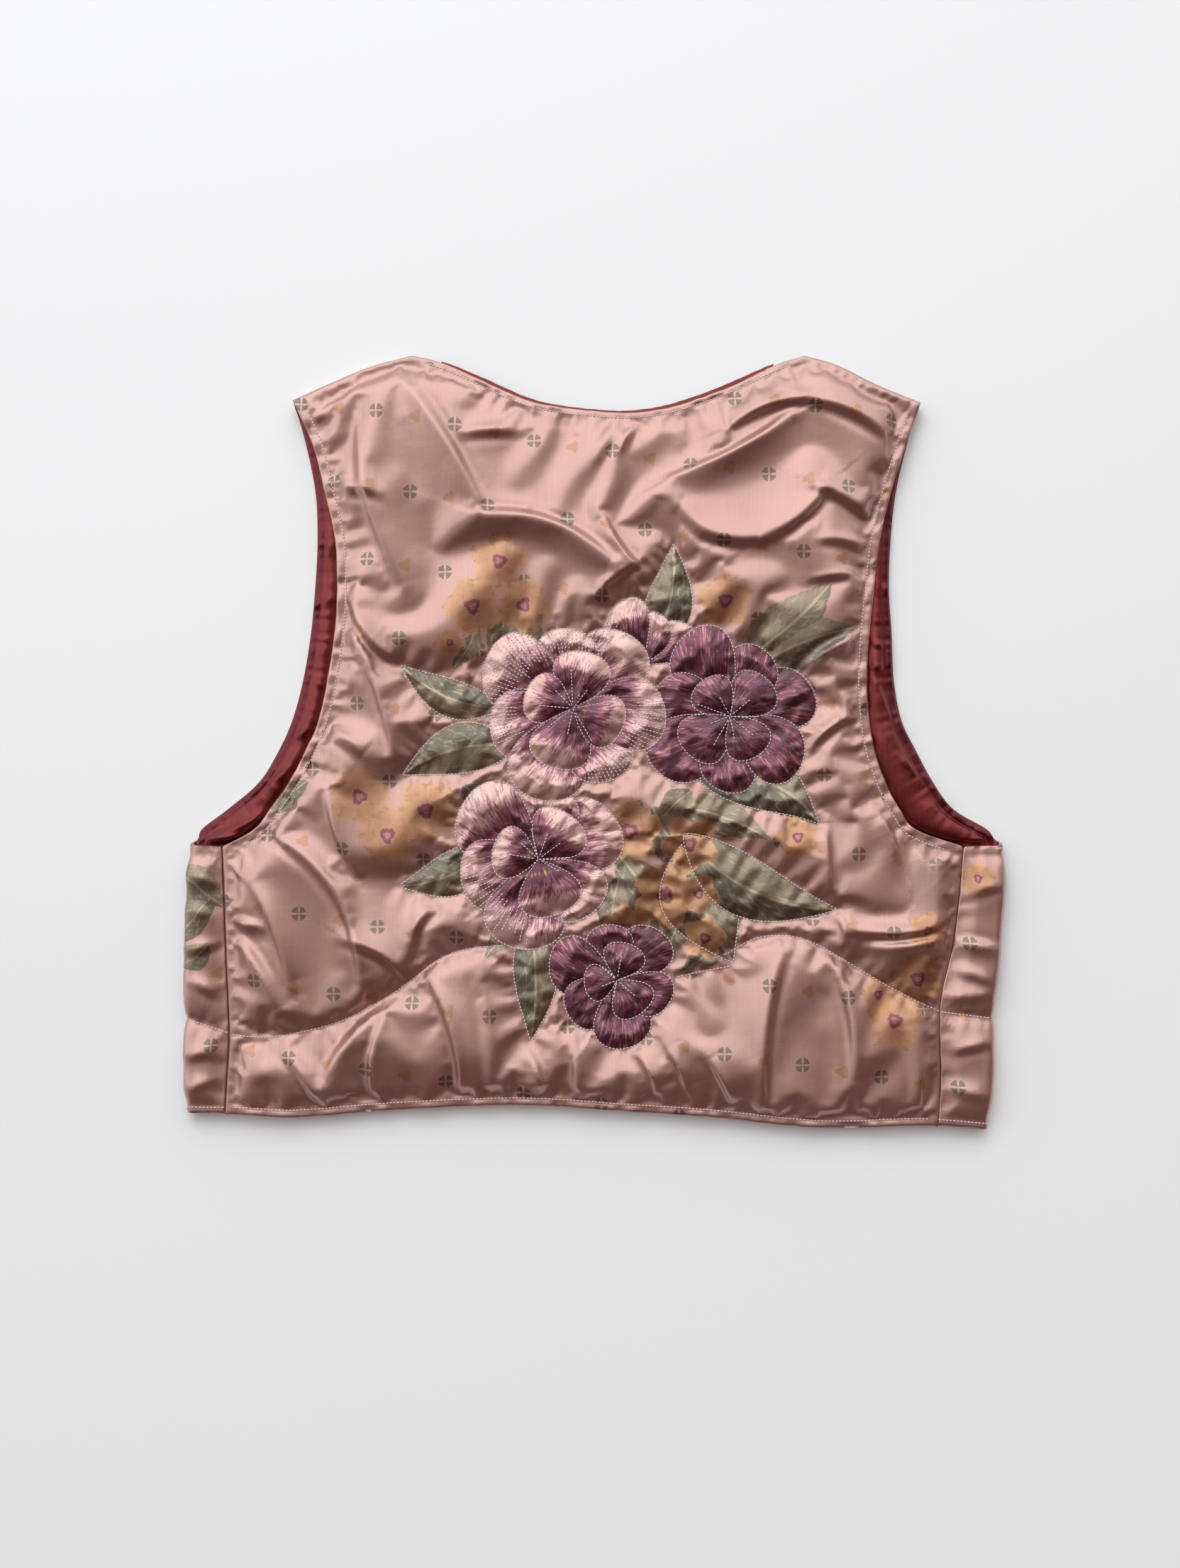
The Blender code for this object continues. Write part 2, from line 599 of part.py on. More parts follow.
NeckPeek = namedtuple("NeckPeek", "across beyond")
NECK_PEEK = [
    NeckPeek(-98, 0.2), NeckPeek(-70, 1.0), NeckPeek(-40, 0.8), NeckPeek(-10, 0.3),
    NeckPeek(20, 0.8), NeckPeek(60, 1.6), NeckPeek(90, 1.9), NeckPeek(114, 0.8),
]
NECK_LINING_DEPTH = 10.0
NECK_LINING_COLUMNS = 30
NECK_SPACING = 3.0


def build_neck_lining():
    """Edge of the back's lining, a narrow band that peeps out past the neck edge."""
    neck = smooth([NECK_POINTS[0], *BACK_NECK, NECK_POINTS[1]], NECK_SPACING)
    across = np.linspace(NECK_PEEK[0].across, NECK_PEEK[-1].across, NECK_LINING_COLUMNS)
    edge = np.interp(across, neck[:, 0], neck[:, 1])
    beyond = np.interp(across, *zip(*NECK_PEEK))
    upper = np.column_stack([across, edge + beyond])
    lower = np.column_stack([across, edge - NECK_LINING_DEPTH])
    plan = cut_plan(np.vstack([lower, upper[::-1]]), [], NECK_LINING_DEPTH)
    high = np.full(len(plan.points), BACK_BASE - LAYER_GAP)
    top = np.column_stack([plan.points, high])
    wall("back_neck_lining", plan, top, top - (0, 0, LINING_WALL), LINING, LINING_ROUGHNESS)


def main():
    for old in list(bpy.data.objects):
        bpy.data.objects.remove(old, do_unlink=True)
    collection = bpy.data.collections.new("quilted_waistcoat")
    bpy.context.scene.collection.children.link(collection)
    build_back()
    build_front(Front("left", -1, "seam_left", "fold_left", "front_left", SHOULDER_TIPS[0],
                      SHOULDER_LEFT, NECK_POINTS[0], StripWave(-176, -184.5)))
    build_front(Front("right", 1, "seam_right", "fold_right", "front_right", SHOULDER_TIPS[1],
                      SHOULDER_RIGHT, NECK_POINTS[1], StripWave(-175, -171.2)))
    build_neck_lining()


main()
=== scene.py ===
import math
from collections import namedtuple

import bpy
import numpy as np
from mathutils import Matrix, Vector
from mathutils.bvhtree import BVHTree


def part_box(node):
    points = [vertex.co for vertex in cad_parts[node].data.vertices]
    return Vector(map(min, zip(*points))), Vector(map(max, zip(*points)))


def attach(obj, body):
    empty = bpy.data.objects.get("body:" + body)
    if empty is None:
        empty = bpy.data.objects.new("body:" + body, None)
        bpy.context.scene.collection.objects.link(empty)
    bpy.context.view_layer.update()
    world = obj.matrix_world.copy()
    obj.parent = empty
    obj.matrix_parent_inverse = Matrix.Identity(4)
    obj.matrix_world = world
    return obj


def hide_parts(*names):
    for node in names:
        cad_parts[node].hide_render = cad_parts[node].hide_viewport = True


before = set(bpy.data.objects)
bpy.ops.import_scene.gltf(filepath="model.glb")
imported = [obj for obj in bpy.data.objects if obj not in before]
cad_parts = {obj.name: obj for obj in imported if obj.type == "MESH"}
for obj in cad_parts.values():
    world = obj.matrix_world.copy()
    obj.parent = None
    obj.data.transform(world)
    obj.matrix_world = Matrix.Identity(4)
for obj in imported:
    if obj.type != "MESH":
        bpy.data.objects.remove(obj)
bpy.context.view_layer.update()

scene = bpy.context.scene

# Back panel, the cut
# One piece of printed satin with a scooped neck and deep armholes, sewn down both sides
# to the fronts. Its edges are curves through a few measured places, in millimetres.
MM = 0.001
Place = namedtuple("Place", "across up")
Armhole = namedtuple("Armhole", "up back_left front_left back_right front_right")
ARMHOLES = [
    Armhole(-55, -217.5, -252.0, 204.4, 251.0),
    Armhole(-42, -207.0, -235.0, 194.1, 229.5),
    Armhole(-25, -195.0, -215.3, 185.2, 216.8),
    Armhole(-5, -184.4, -202.8, 178.4, 205.9),
    Armhole(15, -176.1, -193.9, 174.9, 196.4),
    Armhole(40, -170.5, -187.1, 173.4, 191.6),
    Armhole(70, -165.9, -182.1, 174.9, 190.2),
    Armhole(100, -164.2, -179.3, 177.9, 188.4),
    Armhole(130, -165.6, -177.8, 181.5, 189.5),
    Armhole(160, -172.1, -179.0, 188.7, 192.7),
    Armhole(190, -179.8, -184.8, 198.1, 199.6),
]
Side = namedtuple("Side", "up seam_left fold_left seam_right fold_right")
SIDES = [
    Side(-66, -237.6, -260.5, 234.5, 262.4),
    Side(-100, -236.3, -260.8, 231.5, 261.4),
    Side(-130, -235.3, -261.6, 227.5, 259.2),
    Side(-160, -234.0, -262.3, 220.5, 256.0),
    Side(-185, -233.0, -262.4, 219.3, 255.0),
    Side(-210, -234.3, -262.4, 220.0, 254.5),
    Side(-236, -235.8, -262.4, 218.5, 253.0),
]
SHOULDER_TIPS = (Place(-192.6, 218.3), Place(207.5, 216.9))
NECK_POINTS = (Place(-116.6, 246.8), Place(133.2, 246.8))
SHOULDER_LEFT = [Place(-143.6, 239.5), Place(-170, 228.5)]
SHOULDER_RIGHT = [Place(153.5, 241.0), Place(180.5, 227.9)]
BACK_NECK = [
    Place(-95, 241.3), Place(-62.6, 226.6), Place(-35.6, 216.3), Place(0, 211.6),
    Place(25, 210.6), Place(52, 215.0), Place(86, 227.0), Place(113, 240.0),
]
HEM = [
    Place(-262.4, -236.4), Place(-225, -236.8), Place(-190, -238.4), Place(-130, -233.8),
    Place(-49, -230.6), Place(18, -234.5), Place(73, -238.2), Place(126, -243.9),
    Place(160, -245.3), Place(207, -243.8), Place(255, -247.4),
]


def curve(points, count):
    """A cubic between each two points, bending as its neighbours do, at even steps of length."""
    points = np.asarray(points, float)
    ends = np.vstack([2 * points[0] - points[1], points, 2 * points[-1] - points[-2]])
    t = np.linspace(0, 1, 32, endpoint=False)[:, None]
    runs = []
    for before, start, end, after in zip(ends[:-3], ends[1:-2], ends[2:-1], ends[3:]):
        turn = before - 2.5 * start + 2 * end - 0.5 * after
        twist = 1.5 * (start - end) + 0.5 * (after - before)
        runs.append(start + 0.5 * t * (end - before) + t**2 * turn + t**3 * twist)
    return even(np.vstack(runs + [points[-1:]]), count)


def run_along(line):
    """Length of a line up to each of its points."""
    return np.r_[0, np.cumsum(np.linalg.norm(np.diff(line, axis=0), axis=1))]


def length(line):
    """Length of a whole line."""
    return run_along(line)[-1]


def at_lengths(line, lengths):
    """Places of a line at the given lengths along it."""
    return np.stack([np.interp(lengths, run_along(line), axis) for axis in line.T], axis=1)


def even(line, count):
    """The same line with `count` points at even steps of its length."""
    return at_lengths(line, np.linspace(0, length(line), count))


def coons(bottom, top, left, right, a=None, b=None):
    """Surface between four edges: sides blended across plus ends blended up, less the corners.

    The shares a and b say how far across and up each column and row of points lies.
    """
    a = np.linspace(0, 1, len(bottom)) if a is None else a
    b = np.linspace(0, 1, len(left)) if b is None else b
    a, b = a[None, :, None], b[:, None, None]
    corners = (1 - a) * (1 - b) * bottom[0] + a * (1 - b) * bottom[-1]
    corners = corners + (1 - a) * b * top[0] + a * b * top[-1]
    sides = (1 - a) * left[:, None] + a * right[:, None]
    return sides + (1 - b) * bottom[None] + b * top[None] - corners


def column(rows, name):
    """One named column of a table, as numbers."""
    return np.array([getattr(row, name) for row in rows], float)


def on_hem(across):
    """Height of the hem at places across the garment."""
    line = curve(HEM, 160)
    return np.interp(across, *line.T)


BACK_ACROSS, BACK_UP = 290, 316
seams = {}
armholes = {}
for hand in ("left", "right"):
    seam_line = np.stack([column(SIDES, "seam_" + hand), column(SIDES, "up")], axis=1)[::-1]
    seam_line[0, 1] = on_hem(seam_line[0, 0])
    edge_line = np.stack([column(ARMHOLES, "back_" + hand), column(ARMHOLES, "up")], axis=1)
    seams[hand] = curve(seam_line, 60)
    tip = SHOULDER_TIPS[0] if hand == "left" else SHOULDER_TIPS[1]
    armholes[hand] = curve([seam_line[-1], *edge_line, tip], 120)
shoulders = {
    "left": curve([SHOULDER_TIPS[0], *SHOULDER_LEFT[::-1], NECK_POINTS[0]], 40),
    "right": curve([NECK_POINTS[1], *SHOULDER_RIGHT, SHOULDER_TIPS[1]], 40),
}
neck_line = curve([NECK_POINTS[0], *BACK_NECK, NECK_POINTS[1]], 90)
hem_across = np.linspace(seams["left"][0, 0], seams["right"][0, 0], BACK_ACROSS + 1)
hem_line = np.stack([hem_across, on_hem(hem_across)], axis=1)
top_line = even(np.vstack([shoulders["left"], neck_line[1:], shoulders["right"][1:]]), BACK_ACROSS + 1)
side_lines = [even(np.vstack([seams[hand], armholes[hand][1:]]), BACK_UP + 1) for hand in ("left", "right")]
back_grid = coons(hem_line, top_line, *side_lines)

# Back panel, the quilting
# Machine stitching through satin and wadding: round each leaf and petal of the spray, and
# along two low waves. Everything later in the list lies over what comes before it.
Leaf = namedtuple("Leaf", "stem_across stem_up tip_across tip_up half_width bow")
LEAVES = [
    Leaf(58, -62, 88, -140, 25, -0.06),
    Leaf(66, -22, 143, -52, 19, 0.16),
    Leaf(56, -58, 155, -106, 19, -0.12),
    Leaf(34, 56, 50, 127, 15, -0.08),
    Leaf(-60, 22, -124, 50, 12, 0.10),
    Leaf(-50, -2, -123, -21, 16, -0.10),
    Leaf(-56, -26, -84, -62, 11, 0.08),
    Leaf(-66, -66, -125, -91, 14, 0.10),
    Leaf(-42, -112, -41, -190, 14, 0.05),
]
Flower = namedtuple("Flower", "across up petals reach half_width turn fan inner inner_reach plum")
FLOWERS = [
    Flower(30, 50, 3, 40, 13, 30, 38, 0, 0.0, 0),
    Flower(86, 17, 7, 56, 20, 12, 51.4, 4, 0.60, 1),
    Flower(14, -151, 6, 42, 17, 40, 60, 3, 0.58, 1),
    Flower(-36, -74, 6, 56, 24, 20, 60, 3, 0.62, 0),
    Flower(-14, 22, 7, 60, 23, 44, 51.4, 4, 0.62, 0),
]
Petal = namedtuple("Petal", "reach width swing bow")
PETALS = [
    Petal(1.0, 1.0, 0, 0.08), Petal(0.86, 0.88, 6, -0.06), Petal(1.08, 1.06, -6, 0.10),
    Petal(0.92, 0.94, 5, -0.09), Petal(1.05, 1.08, -7, 0.05), Petal(0.88, 0.86, 6, -0.10),
    Petal(1.0, 1.0, -3, 0.07),
]
INNER_WIDTH = 0.8
INNER_TURN = 26
WAVES = [
    [Place(-233.5, -185.5), Place(-205, -187), Place(-163, -177.5), Place(-127, -158.5),
     Place(-102, -139.5), Place(-82, -131.5), Place(-58, -128.8)],
    [Place(82, -135), Place(106, -123.5), Place(136, -126), Place(178, -150),
     Place(200, -162), Place(219.5, -171.0)],
    [Place(52, -149), Place(68, -145.5), Place(86, -142)],
]
Motif = namedtuple("Motif", "base tip half_width bow profile outline kind")


def leaf_profile(t):
    """Width along a leaf: pointed at both ends and widest nearer the stem."""
    return np.sin(math.pi * np.clip(t, 0, 1) ** 0.8)


def petal_profile(t):
    """Width along a petal: narrow at the heart, widest at two thirds, bluntly pointed."""
    t = np.clip(t, 0, 1)
    return 2.74 * t * (1 - t) ** 0.55


def blade(base, tip, half_width, bow, profile, kind):
    """A leaf or petal: out along one side from its base and back along the other."""
    t = np.linspace(0, 1, 60)
    rib = tip - base
    side = np.array([-rib[1], rib[0]]) / np.linalg.norm(rib)
    spine = base + t[:, None] * rib + (4 * bow * t * (1 - t) * np.linalg.norm(rib))[:, None] * side
    spread = (half_width * profile(t))[:, None] * side
    outline = np.vstack([spine + spread, (spine - spread)[-2:0:-1]])
    return Motif(base, tip, half_width, bow, profile, outline, kind)


def in_blade(motif, points):
    """Share of the way out along a blade's rib, and share of its half width to the side."""
    rib = motif.tip - motif.base
    reach = np.linalg.norm(rib)
    t = (points - motif.base) @ rib / reach**2
    side = np.array([-rib[1], rib[0]]) / reach
    off = (points - motif.base) @ side - 4 * motif.bow * t * (1 - t) * reach
    return t, off / motif.half_width


PALE, PLUM, LEAF = 0, 1, 2
motifs = []
for row in LEAVES:
    stem, tip = np.array([row.stem_across, row.stem_up]), np.array([row.tip_across, row.tip_up])
    motifs.append(blade(stem, tip, row.half_width, row.bow, leaf_profile, LEAF))
for row in FLOWERS:
    heart = np.array([row.across, row.up])
    rings = (
        (row.petals, row.reach, row.half_width, row.turn, row.fan),
        (row.inner, row.reach * row.inner_reach, row.half_width * INNER_WIDTH,
         row.turn + INNER_TURN, 360 / max(row.inner, 1)),
    )
    for count, reach, half_width, turned, fan in rings:
        for index, petal in enumerate(PETALS[:count]):
            around = math.radians(turned + fan * index + petal.swing)
            tip = heart + reach * petal.reach * np.array([math.cos(around), math.sin(around)])
            kind = PLUM if row.plum else PALE
            motifs.append(blade(heart, tip, half_width * petal.width, petal.bow, petal_profile, kind))


def inside(points, outline):
    """Which points lie inside an outline, by counting the edges to their right."""
    low, high = outline.min(axis=0), outline.max(axis=0)
    near = np.flatnonzero(np.all((points >= low) & (points <= high), axis=1))
    hits = np.zeros(len(near), bool)
    x, y = points[near].T
    for start, end in zip(outline, np.roll(outline, -1, axis=0)):
        if start[1] != end[1]:
            spans = (start[1] > y) != (end[1] > y)
            hits ^= spans & (x < start[0] + (y - start[1]) / (end[1] - start[1]) * (end[0] - start[0]))
    found = np.zeros(len(points), bool)
    found[near[hits]] = True
    return found


def in_shapes(points, shapes):
    """Which points lie in any of the given leaves and petals."""
    found = np.zeros(len(points), bool)
    for shape in shapes:
        found |= inside(points, shape.outline)
    return found


quilting = []
for index, motif in enumerate(motifs):
    line = np.vstack([motif.outline, motif.outline[:1]])
    line = even(line, int(length(line) / 1.5))
    shows = np.ones(len(line), bool)
    for cover in motifs[index + 1:]:
        shows &= ~inside(line, cover.outline)
    breaks = np.flatnonzero(np.diff(shows.astype(int))) + 1
    for run, seen in zip(np.split(line, breaks), np.split(shows, breaks)):
        if seen[0] and len(run) > 3:
            quilting.append(run)
waves = [curve(wave, 70) for wave in WAVES]


def inset(line, by):
    """The line moved to its left by a distance."""
    way = np.gradient(line, axis=0)
    way /= np.linalg.norm(way, axis=1)[:, None]
    return line + by * np.stack([-way[:, 1], way[:, 0]], axis=1)


# Topstitching runs just inside each finished edge
ARMHOLE_STITCH, NECK_STITCH, HEM_STITCH = 5.6, 3.4, 4.6
topstitching = [
    inset(armholes["left"], -ARMHOLE_STITCH), inset(armholes["right"], ARMHOLE_STITCH),
    inset(neck_line, -NECK_STITCH), inset(hem_line, HEM_STITCH),
]
Near = namedtuple("Near", "gap place along")


def nearest(points, lines, reach=60.0):
    """For each point: how far the nearest line is, its place there and the run of line up to it."""
    gap = np.full(len(points), reach)
    place = points.copy()
    along = np.zeros(len(points))
    run_up = 0.0
    for line in lines:
        low, high = line.min(axis=0) - reach, line.max(axis=0) + reach
        near = np.flatnonzero(np.all((points > low) & (points < high), axis=1))
        local, best = points[near], gap[near]
        where, run = place[near], along[near]
        for start, end in zip(line[:-1], line[1:]):
            step = end - start
            size = math.hypot(*step)
            share = np.clip((local - start) @ step / max(size**2, 1e-12), 0, 1)
            spot = start + share[:, None] * step
            away = np.hypot(*(local - spot).T)
            closer = away < best
            best = np.where(closer, away, best)
            where[closer] = spot[closer]
            run[closer] = run_up + share[closer] * size
            run_up += size
        gap[near], place[near], along[near] = best, where, run
        run_up += 37.0
    return Near(gap, place, along)


def ripple(along, step, seed):
    """Smooth uneven waves along a line: random heights a step apart, eased between."""
    heights = np.random.default_rng(seed).uniform(-1, 1, 4096)
    place = along / step
    whole = np.floor(place).astype(int)
    ease = (place - whole) ** 2 * (3 - 2 * (place - whole))
    return heights[whole % 4096] * (1 - ease) + heights[(whole + 1) % 4096] * ease


def swell(points, step, seed):
    """Smooth uneven ground: random heights on a square lattice, eased between."""
    heights = np.random.default_rng(seed).uniform(-1, 1, (128, 128))
    whole = np.floor(points / step).astype(int)
    part = points / step - whole
    ease = part**2 * (3 - 2 * part)
    corner = [[heights[(whole[:, 0] + i) % 128, (whole[:, 1] + j) % 128] for j in (0, 1)] for i in (0, 1)]
    left = corner[0][0] * (1 - ease[:, 1]) + corner[0][1] * ease[:, 1]
    right = corner[1][0] * (1 - ease[:, 1]) + corner[1][1] * ease[:, 1]
    return left * (1 - ease[:, 0]) + right * ease[:, 0]


# Back panel, the lie of the cloth
# The wadding lofts between the stitching, and the satin over it has creased: each row is a
# ridge or trough between two places, steeper on one side, as it lies in the photograph.
EDGE_WALL, LEAST_WALL = 2.4, 1.6
LOFT, LOFT_REACH = 6.2, 11.5
SPRAY_LOFT, SPRAY_REACH = 0.72, 7.0
RIM_FLAT, RIM_RISE, RIM_LOFT = 4.0, 12.0, 0.14
SIDE_SEAM_EASE = 1.3
CREASE_RISE, CREASE_SINK, CREASE_REACH = 2.1, 1.2, 5.0
CREASE_SPREAD, CREASE_ENDS = 0.72, 0.25
GROOVE_DEPTH, GROOVE_WIDTH, GROOVE_END = 0.28, 3.6, 4.0
# Puckers that gather along the seams, and the slow unevenness of the wadding
Pucker = namedtuple("Pucker", "rise step seed fade power clear")
PUCKERS = [
    Pucker(1.3, 8.5, 5, 12.0, 1.5, 3.0), Pucker(1.0, 4.6, 3, 6.5, 1, 1.6), Pucker(0.45, 2.1, 4, 3.0, 1, 0.9),
]
Ground = namedtuple("Ground", "rise step seed")
GROUND = [Ground(0.7, 40, 7), Ground(0.15, 17, 8)]
Crease = namedtuple("Crease", "from_across from_up to_across to_up bow left right rise soft")
CREASES = [
    Crease(-121, 226, -72, 148, 4, 9, 16, 3.4, 1.0),
    Crease(-150, 204, -120, 100, -6, 13, 9, 3.0, 1.5),
    Crease(-72, 144, 10, 114, 10, 9, 14, 3.6, 2.5),
    Crease(-163, 120, -127, 53, -8, 9, 6, 3.2, 1.2),
    Crease(-162, 82, -126, -14, 6, 12, 7, 3.2, 1.2),
    Crease(-166, 161, -136, 157, 2, 7, 7, 2.4, 1.5),
    Crease(-170, 8, -146, -8, 2, 8, 8, 2.4, 2.0),
    Crease(-92, 228, -54, 219, -1, 5, 5, 1.8, 0.8),
    Crease(-82, 196, -48, 199, 1, 7, 7, 1.8, 2.0),
    Crease(84, 200, 132, 217, 4, 12, 7, 3.0, 1.5),
    Crease(132, 217, 184, 194, 4, 12, 7, 3.0, 1.5),
    Crease(50, 168, 124, 206, -3, 7, 12, 3.2, 1.2),
    Crease(54, 150, 104, 130, -8, 14, 9, 2.6, 2.0),
    Crease(104, 130, 146, 164, -5, 14, 9, 2.4, 2.0),
    Crease(138, 162, 176, 142, 3, 10, 6, 2.6, 2.0),
    Crease(140, 128, 172, 124, 2, 6, 6, 1.6, 1.2),
    Crease(6, 144, 28, 110, -3, 6, 10, 2.8, 1.0),
    Crease(0, 94, 28, 116, 2, 6, 6, 2.0, 1.5),
    Crease(136, 104, 166, 107, 1, 6, 6, 1.8, 1.0),
    Crease(138, 52, 170, 68, 2, 6, 8, 2.4, 1.2),
    Crease(124, 28, 146, 33, 2, 7, 6, 2.0, 2.0),
    Crease(136, -4, 166, 19, 3, 8, 6, 2.4, 1.2),
    Crease(-200, -60, -148, -148, 14, 12, 8, 3.4, 1.5),
    Crease(-216, -88, -192, -152, 3, 10, 7, 3.0, 1.5),
    Crease(-168, -30, -150, -80, -3, 9, 6, 2.6, 1.2),
    Crease(-232, -122, -200, -168, 4, 8, 9, 2.8, 1.5),
    Crease(-234, -113, -212, -116, 1, 5, 6, 2.0, 1.0),
    Crease(-158, -124, -120, -148, 5, 10, 7, 3.0, 1.5),
    Crease(-116, -124, -104, -104, 2, 7, 7, 2.0, 1.5),
    Crease(-171, -214, -129, -166, 4, 9, 12, 2.8, 2.0),
    Crease(-142, -226, -132, -172, 3, 5, 9, 2.2, 1.2),
    Crease(-107, -144, -84, -226, 7, 12, 8, 3.2, 1.5),
    Crease(-43, -194, -33, -226, 2, 6, 8, 2.6, 1.0),
    Crease(-14, -190, -11, -226, 1, 8, 6, 2.2, 1.5),
    Crease(-72, -150, -66, -224, 3, 9, 9, 2.0, 2.5),
    Crease(146, -50, 153, -100, -3, 6, 9, 2.8, 1.2),
    Crease(154, -106, 158, -124, 1, 5, 5, 2.0, 0.8),
    Crease(164, -118, 224, -112, -4, 9, 8, 2.8, 1.5),
    Crease(172, -130, 226, -121, -2, 6, 8, 2.4, 1.2),
    Crease(180, -46, 190, -72, 2, 6, 8, 2.2, 1.0),
    Crease(150, -138, 163, -214, 6, 12, 8, 3.0, 1.5),
    Crease(118, -134, 106, -230, -5, 8, 12, 3.0, 1.5),
    Crease(25, -195, 40, -220, 2, 8, 6, 2.4, 1.2),
    Crease(46, -192, 58, -218, 2, 8, 6, 2.0, 1.2),
    Crease(72, -198, 88, -230, 2, 9, 6, 2.4, 1.2),
    Crease(92, -118, 96, -132, 1, 5, 5, 1.8, 0.8),
    Crease(196, -178, 204, -232, 3, 10, 9, 2.0, 2.5),
    Crease(-196, -196, -176, -226, 2, 9, 8, 1.8, 2.0),
    Crease(16, 184, 26, 204, 1, 5, 5, 1.6, 1.0),
    Crease(-2, 176, 10, 206, -2, 8, 8, 1.2, 2.0),
]


def creasing(points, creases):
    """Height of the creases: a rounded crest that falls away at its own rate to each side.

    At the foot of its steeper side the cloth is nipped into a shallow groove.
    """
    total = np.zeros(len(points))
    for row in creases:
        start = np.array([row.from_across, row.from_up], float)
        run = np.array([row.to_across, row.to_up]) - start
        reach = np.linalg.norm(run)
        t = np.clip((points - start) @ run / reach**2, 0, 1)
        off = (points - start) @ np.array([-run[1], run[0]]) / reach - 4 * row.bow * t * (1 - t)
        beyond = (points - start) @ run / reach
        past = np.maximum(np.maximum(-beyond, beyond - reach), 0)
        width = CREASE_SPREAD * np.where(off > 0, row.left, row.right)
        far = np.sqrt(off**2 + past**2 + row.soft**2) - row.soft
        foot = CREASE_SPREAD * (row.left if row.left < row.right else -row.right)
        groove = GROOVE_DEPTH * np.exp(-((off - foot) / GROOVE_WIDTH) ** 2 - (past / GROOVE_END) ** 2)
        arch = np.sin(math.pi * np.clip(t, 0.02, 0.98)) ** 0.8
        swelling = CREASE_ENDS + (1 - CREASE_ENDS) * arch
        total += row.rise * (np.exp(-far / width) - groove) * swelling
    return total


def rounded(gap, reach):
    """How far the wadding has risen at a distance from a seam, from 0 to 1."""
    return 1 - np.exp(-gap / reach)


def puckering(along, gap, puckers):
    """Height of the puckers by a seam: uneven waves along it that fade away from it."""
    total = 0
    for row in puckers:
        fading = np.exp(-(gap / row.fade) ** row.power) * rounded(gap, row.clear)
        total = total + row.rise * ripple(along, row.step, row.seed) * fading
    return total


def eased(value):
    """Smooth step from 0 to 1."""
    value = np.clip(value, 0, 1)
    return value**2 * (3 - 2 * value)


back_rim = [hem_line, *seams.values(), *armholes.values(), *shoulders.values(), neck_line]
side_seams = [*seams.values(), *shoulders.values()]
BACK_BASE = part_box("back")[0][2] / MM
Lie = namedtuple("Lie", "points top gap rim_gap held")


def lie(points, reach, fixed):
    """How the panel lies over its points before it settles.

    Points within `reach` of a seam are moved onto it. The wadding rises away from seams by an
    exponential, and creases, puckers and a slow unevenness are added where it has risen.
    """
    sewn = nearest(points, quilting + waves + topstitching)
    on_seam = (sewn.gap < reach) & ~fixed
    points = np.where(on_seam[:, None], sewn.place, points)
    gap = np.where(on_seam, 0.0, sewn.gap)
    rim_gap = nearest(points, back_rim).gap
    gap = np.minimum(gap, nearest(points, side_seams).gap * SIDE_SEAM_EASE)
    in_field = eased((rim_gap - RIM_FLAT) / RIM_RISE)
    in_spray = in_shapes(points, motifs)
    cushion = np.where(in_spray, SPRAY_LOFT * rounded(gap, SPRAY_REACH), rounded(gap, LOFT_REACH))
    lofted = LOFT * cushion * (RIM_LOFT + (1 - RIM_LOFT) * in_field)
    pucker = puckering(sewn.along, gap, PUCKERS)
    ground = sum(row.rise * swell(points, row.step, row.seed) for row in GROUND)
    creased = CREASE_RISE * creasing(points, CREASES) - CREASE_SINK + ground
    creased *= rounded(gap, CREASE_REACH) * in_field
    top = BACK_BASE + np.maximum(EDGE_WALL + lofted + pucker + creased, LEAST_WALL)
    return Lie(points, top, gap, rim_gap, on_seam)


# The satin was quilted slack, so between the stitching it is let go and finds its own puckers.
# Blender's cloth works on an even lattice at ten times life size, held along every seam, and
# how far each of its points has moved is then read back for the panel's own points.
LATTICE = 3.0
CLOTH_SCALE = 0.01
CLOTH_FRAMES = 24
FIELD_SLACK, SPRAY_SLACK = 0.026, 0.018
HELD_BY_SEAM, HELD_BY_RIM = 1.7, 3.0


